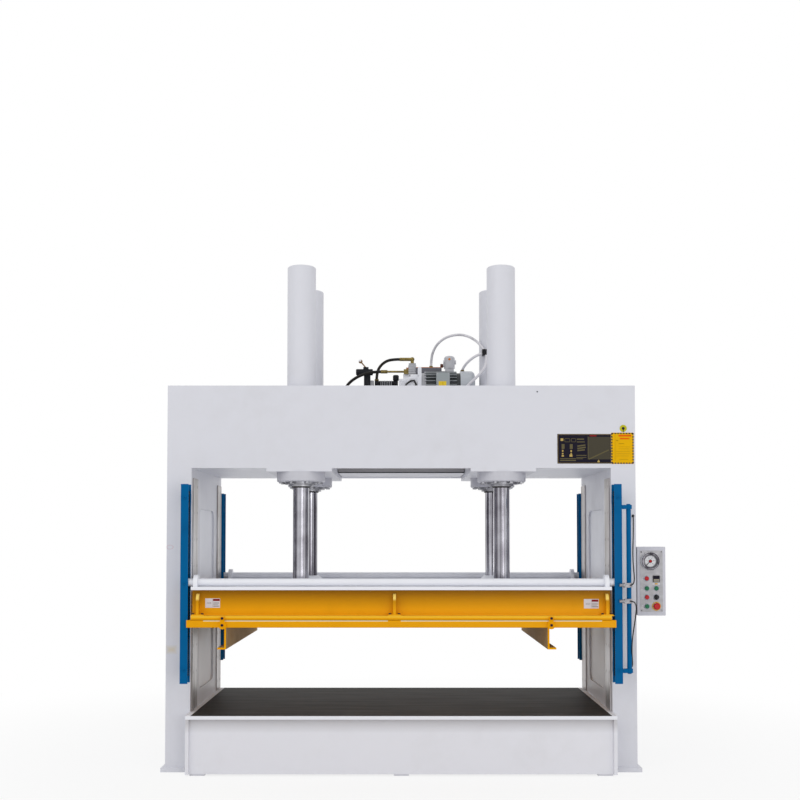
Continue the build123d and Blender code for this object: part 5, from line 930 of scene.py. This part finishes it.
terminal_yellow = print_ink("terminal_yellow", (0.86, 0.62, 0.05))
# The tank's low front face takes a painted shadow, and a dark painted shade line marks the gap
# under it.
tank_paint = painted("tank_paint", WHITE_PAINT, WHITE_GRIME, 0.10,
                     layers=[zone(*TANK_SHADOW, 0.010, (0.30, 0.29, 0.30)),
                             zone(*TANK_GAP_SHADE, 0.001, GAP_SHADE)])
finish(tank_paint, "oil_tank")
finish(white_paint, "tank_lid")
finish(motor_grey, "motor_housing")
finish(box_cast, "terminal_box")
finish(cowl_silver, "fan_cowl")
finish(valve_pale, "pressure_valve")
finish(lever_paint, "hand_lever")
finish(block_black, "motor_rotor", "valve_block")
finish(lit_white_paint, "pump")
finish(manifold_grey, "manifold")
finish(brown_plastic, "relief_knob")
finish(brass, "line_fittings")

lid_bolts = []
for x in LID_BOLT_COLUMNS:
    for y in (LID_FRONT + LID_BOLT_INSET, LID_REAR - LID_BOLT_INSET):
        lid_bolts.append(turned_form(WASHER, (x, y, LID_TOP), "+Z", sides=20))
        lid_bolts.append(turned_form(HEX_BOLT, (x, y, LID_TOP + WASHER_TOP), "+Z", sides=6))
fitted("lid_bolts", lid_bolts, turned_steel)
fitted("tank_breather", [turned_form(BREATHER, BREATHER_PLACE, "+Z", sides=36)], block_black)
fitted("terminal_label", [plate_form((278.0, TERMINAL_FACE, TERMINAL_LEVEL), 52.0, 32.0,
                                     TERMINAL_LABEL_DEPTH, corner=2.0)],
       terminal_yellow)
fitted("terminal_label_line", [plate_form((280.0, TERMINAL_FACE - TERMINAL_LABEL_DEPTH,
                                           TERMINAL_LEVEL), 2.0, 28.0, PRINT_DEPTH, corner=0.3,
                                          chamfer=0.1, rounds=1)], notice_ochre)
fitted("terminal_screws", [turned_form(PANEL_SCREW, (x, TERMINAL_FACE, z), sides=16)
                           for x, z in TERMINAL_SCREWS], turned_steel)
pipe_route = [(x, PIPE_Y, PIPE_LEVEL) for x in PIPE_STOPS]
fitted("manifold_pipe", [bar_form(pipe_route, PIPE_RADIUS)], copper)
filter_ribs = [plate_form((FILTER_X, FILTER_Y, level), 55.0, 65.0, 6.0, "+Z", corner=4.0,
                          chamfer=0.8) for level in FILTER_LEVELS]
fitted("filter_ribs", filter_ribs, valve_pale)
fitted("filter_nuts", [turned_form(FILTER_NUT, place, "-X", sides=6)
                       for place in FILTER_NUT_PLACES], copper)
fitted("valve_orange_plug", [turned_form(VALVE_PLUG, VALVE_PLUG_PLACE, sides=20)],
       orange_plastic)
reducer = [plate_form((REDUCER_X, REDUCER_Y, LID_TOP), 52.0, 78.0, 168.0, "+Z", corner=9.0,
                      chamfer=2.5),
           plate_form((REDUCER_X, REDUCER_Y, LID_TOP + REDUCER_RING), 56.0, 82.0, 10.0, "+Z",
                      corner=10.0, chamfer=2.0)]
fitted("reducing_valve", reducer, valve_pale)
fitted("coil_socket", [turned_form(COIL_SOCKET, COIL_SOCKET_PLACE, "+Z")], block_black)
coil_ribs = [plate_form((x, COIL_Y, COIL_LEVEL), 5.0, 76.0, 43.0, "+Z", corner=2.0, chamfer=0.6)
             for x in COIL_RIB_STOPS]
fitted("coil_ribs", coil_ribs, pale_cast)
bracket = [plate_form((124.5, BRACKET_Y, 2462.0), 26.0, 232.0, 4.0, corner=9.0, chamfer=0.6),
           plate_form((60.0, BRACKET_Y, 2505.0), 116.0, 17.0, 4.0, corner=4.0, chamfer=0.6,
                      turn=BRACKET_SLOPE)]
fitted("pump_bracket", bracket, lit_white_paint)
bracket_route = [(x, BRACKET_HOSE_Y, z) for x, z in BRACKET_HOSE]
fitted("bracket_hose", [bar_form(bracket_route, BRACKET_HOSE_RADIUS)], wiper_rubber)

# HOSES, CONDUITS AND SENSOR CABLES
# Black rubber hydraulic hoses, pale ribbed conduits that meet beside the rear right
# cylinder, and two thin cables from the height switches to the post.
HOSE_DIAMETER, CONDUIT_DIAMETER, CABLE_DIAMETER = 0.020, 0.018, 0.007
UPPER_HOSE = [(-172, 455, 2527), (-171, 457, 2571), (-152, 462, 2617), (-117, 470, 2652),
              (-71, 478, 2671), (-12, 485, 2673)]
LOWER_HOSE = [(-396, 266, 2366), (-391, 268, 2424), (-356, 274, 2478), (-300, 282, 2520),
              (-234, 290, 2546), (-186, 294, 2554), (-140, 296, 2556)]
FIRST_CONDUIT = [(209, 485, 2625), (211, 483, 2680), (224, 474, 2732), (258, 452, 2784),
                 (316, 418, 2820), (394, 378, 2830), (462, 338, 2810), (516, 300, 2768),
                 (548, 268, 2726), (562, 252, 2700)]
SECOND_CONDUIT = [(550, 244, 2672), (522, 246, 2664), (488, 256, 2646), (454, 278, 2620),
                  (430, 306, 2594), (420, 328, 2572)]
THIRD_CONDUIT = [(577, 236, 2660), (579, 230, 2622), (568, 224, 2576), (536, 216, 2532),
                 (494, 206, 2490), (446, 199, 2446), (412, 196, 2400), (402, 195, 2354)]
UPPER_CABLE = [(1346, -685, 1136), (1362, -685, 1136), (1372, -684, 1149), (1377, -682, 1173),
               (1376, -671, 1213), (1374, -655, 1283), (1381, -624, 1358), (1393, -582, 1434),
               (1403, -537, 1500), (1411, -504, 1536), (1414, -481, 1550)]
LOWER_CABLE = [(1346, -685, 1042), (1366, -685, 1042), (1381, -685, 1029), (1387, -685, 1008),
               (1383, -686, 966), (1372, -687, 894), (1361, -684, 820), (1360, -672, 752),
               (1370, -640, 694), (1381, -594, 656), (1387, -540, 638), (1390, -481, 632)]


def laid_cord(name, node, route, length, diameter, material, slot, stiffness):
    """One open NURBS curve through the route's control points, with a round section."""
    curve = bpy.data.curves.new(name, "CURVE")
    curve.dimensions = "3D"
    curve.bevel_depth = diameter / 2
    curve.bevel_resolution = 5
    curve.use_fill_caps = True
    curve.resolution_u = 16
    spline = curve.splines.new("NURBS")
    spline.points.add(len(route) - 1)
    places = [(x / 1000, y / 1000, z / 1000) for x, y, z in route]
    for point, place in zip(spline.points, places):
        point.co = (*place, 1.0)
    spline.order_u = 3
    spline.use_endpoint_u = True
    piece = dressed(name, curve, material, "frame")
    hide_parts(node)


rubber = painted("hose_rubber", (0.016, 0.014, 0.013), (0.050, 0.030, 0.012), 0.6, shine=0.45,
                 specular=0.15)
# The dark patches on the conduits are painted shade and reflection along their ribs.
conduit_plastic = painted("conduit_plastic", (0.72, 0.71, 0.75), (0.075, 0.075, 0.095), 1.0,
                          shine=0.18, coat=0.4)
hose_make = (HOSE_DIAMETER, rubber, "rubber_hose", "stiff")
conduit_make = (CONDUIT_DIAMETER, conduit_plastic, "conduit_grey", "stiff")
cable_make = (CABLE_DIAMETER, rubber, "rubber_hose", "medium")
laid_cord("pressure_hose", "upper_hose", UPPER_HOSE, 0.252, *hose_make)
laid_cord("return_hose", "lower_hose", LOWER_HOSE, 0.357, *hose_make)
laid_cord("valve_conduit", "first_conduit", FIRST_CONDUIT, 0.591, *conduit_make)
laid_cord("motor_conduit", "second_conduit", SECOND_CONDUIT, 0.194, *conduit_make)
laid_cord("supply_conduit", "third_conduit", THIRD_CONDUIT, 0.370, *conduit_make)
laid_cord("upper_switch_cable", "upper_sensor_cable", UPPER_CABLE, 0.503, *cable_make)
laid_cord("lower_switch_cable", "lower_sensor_cable", LOWER_CABLE, 0.560, *cable_make)
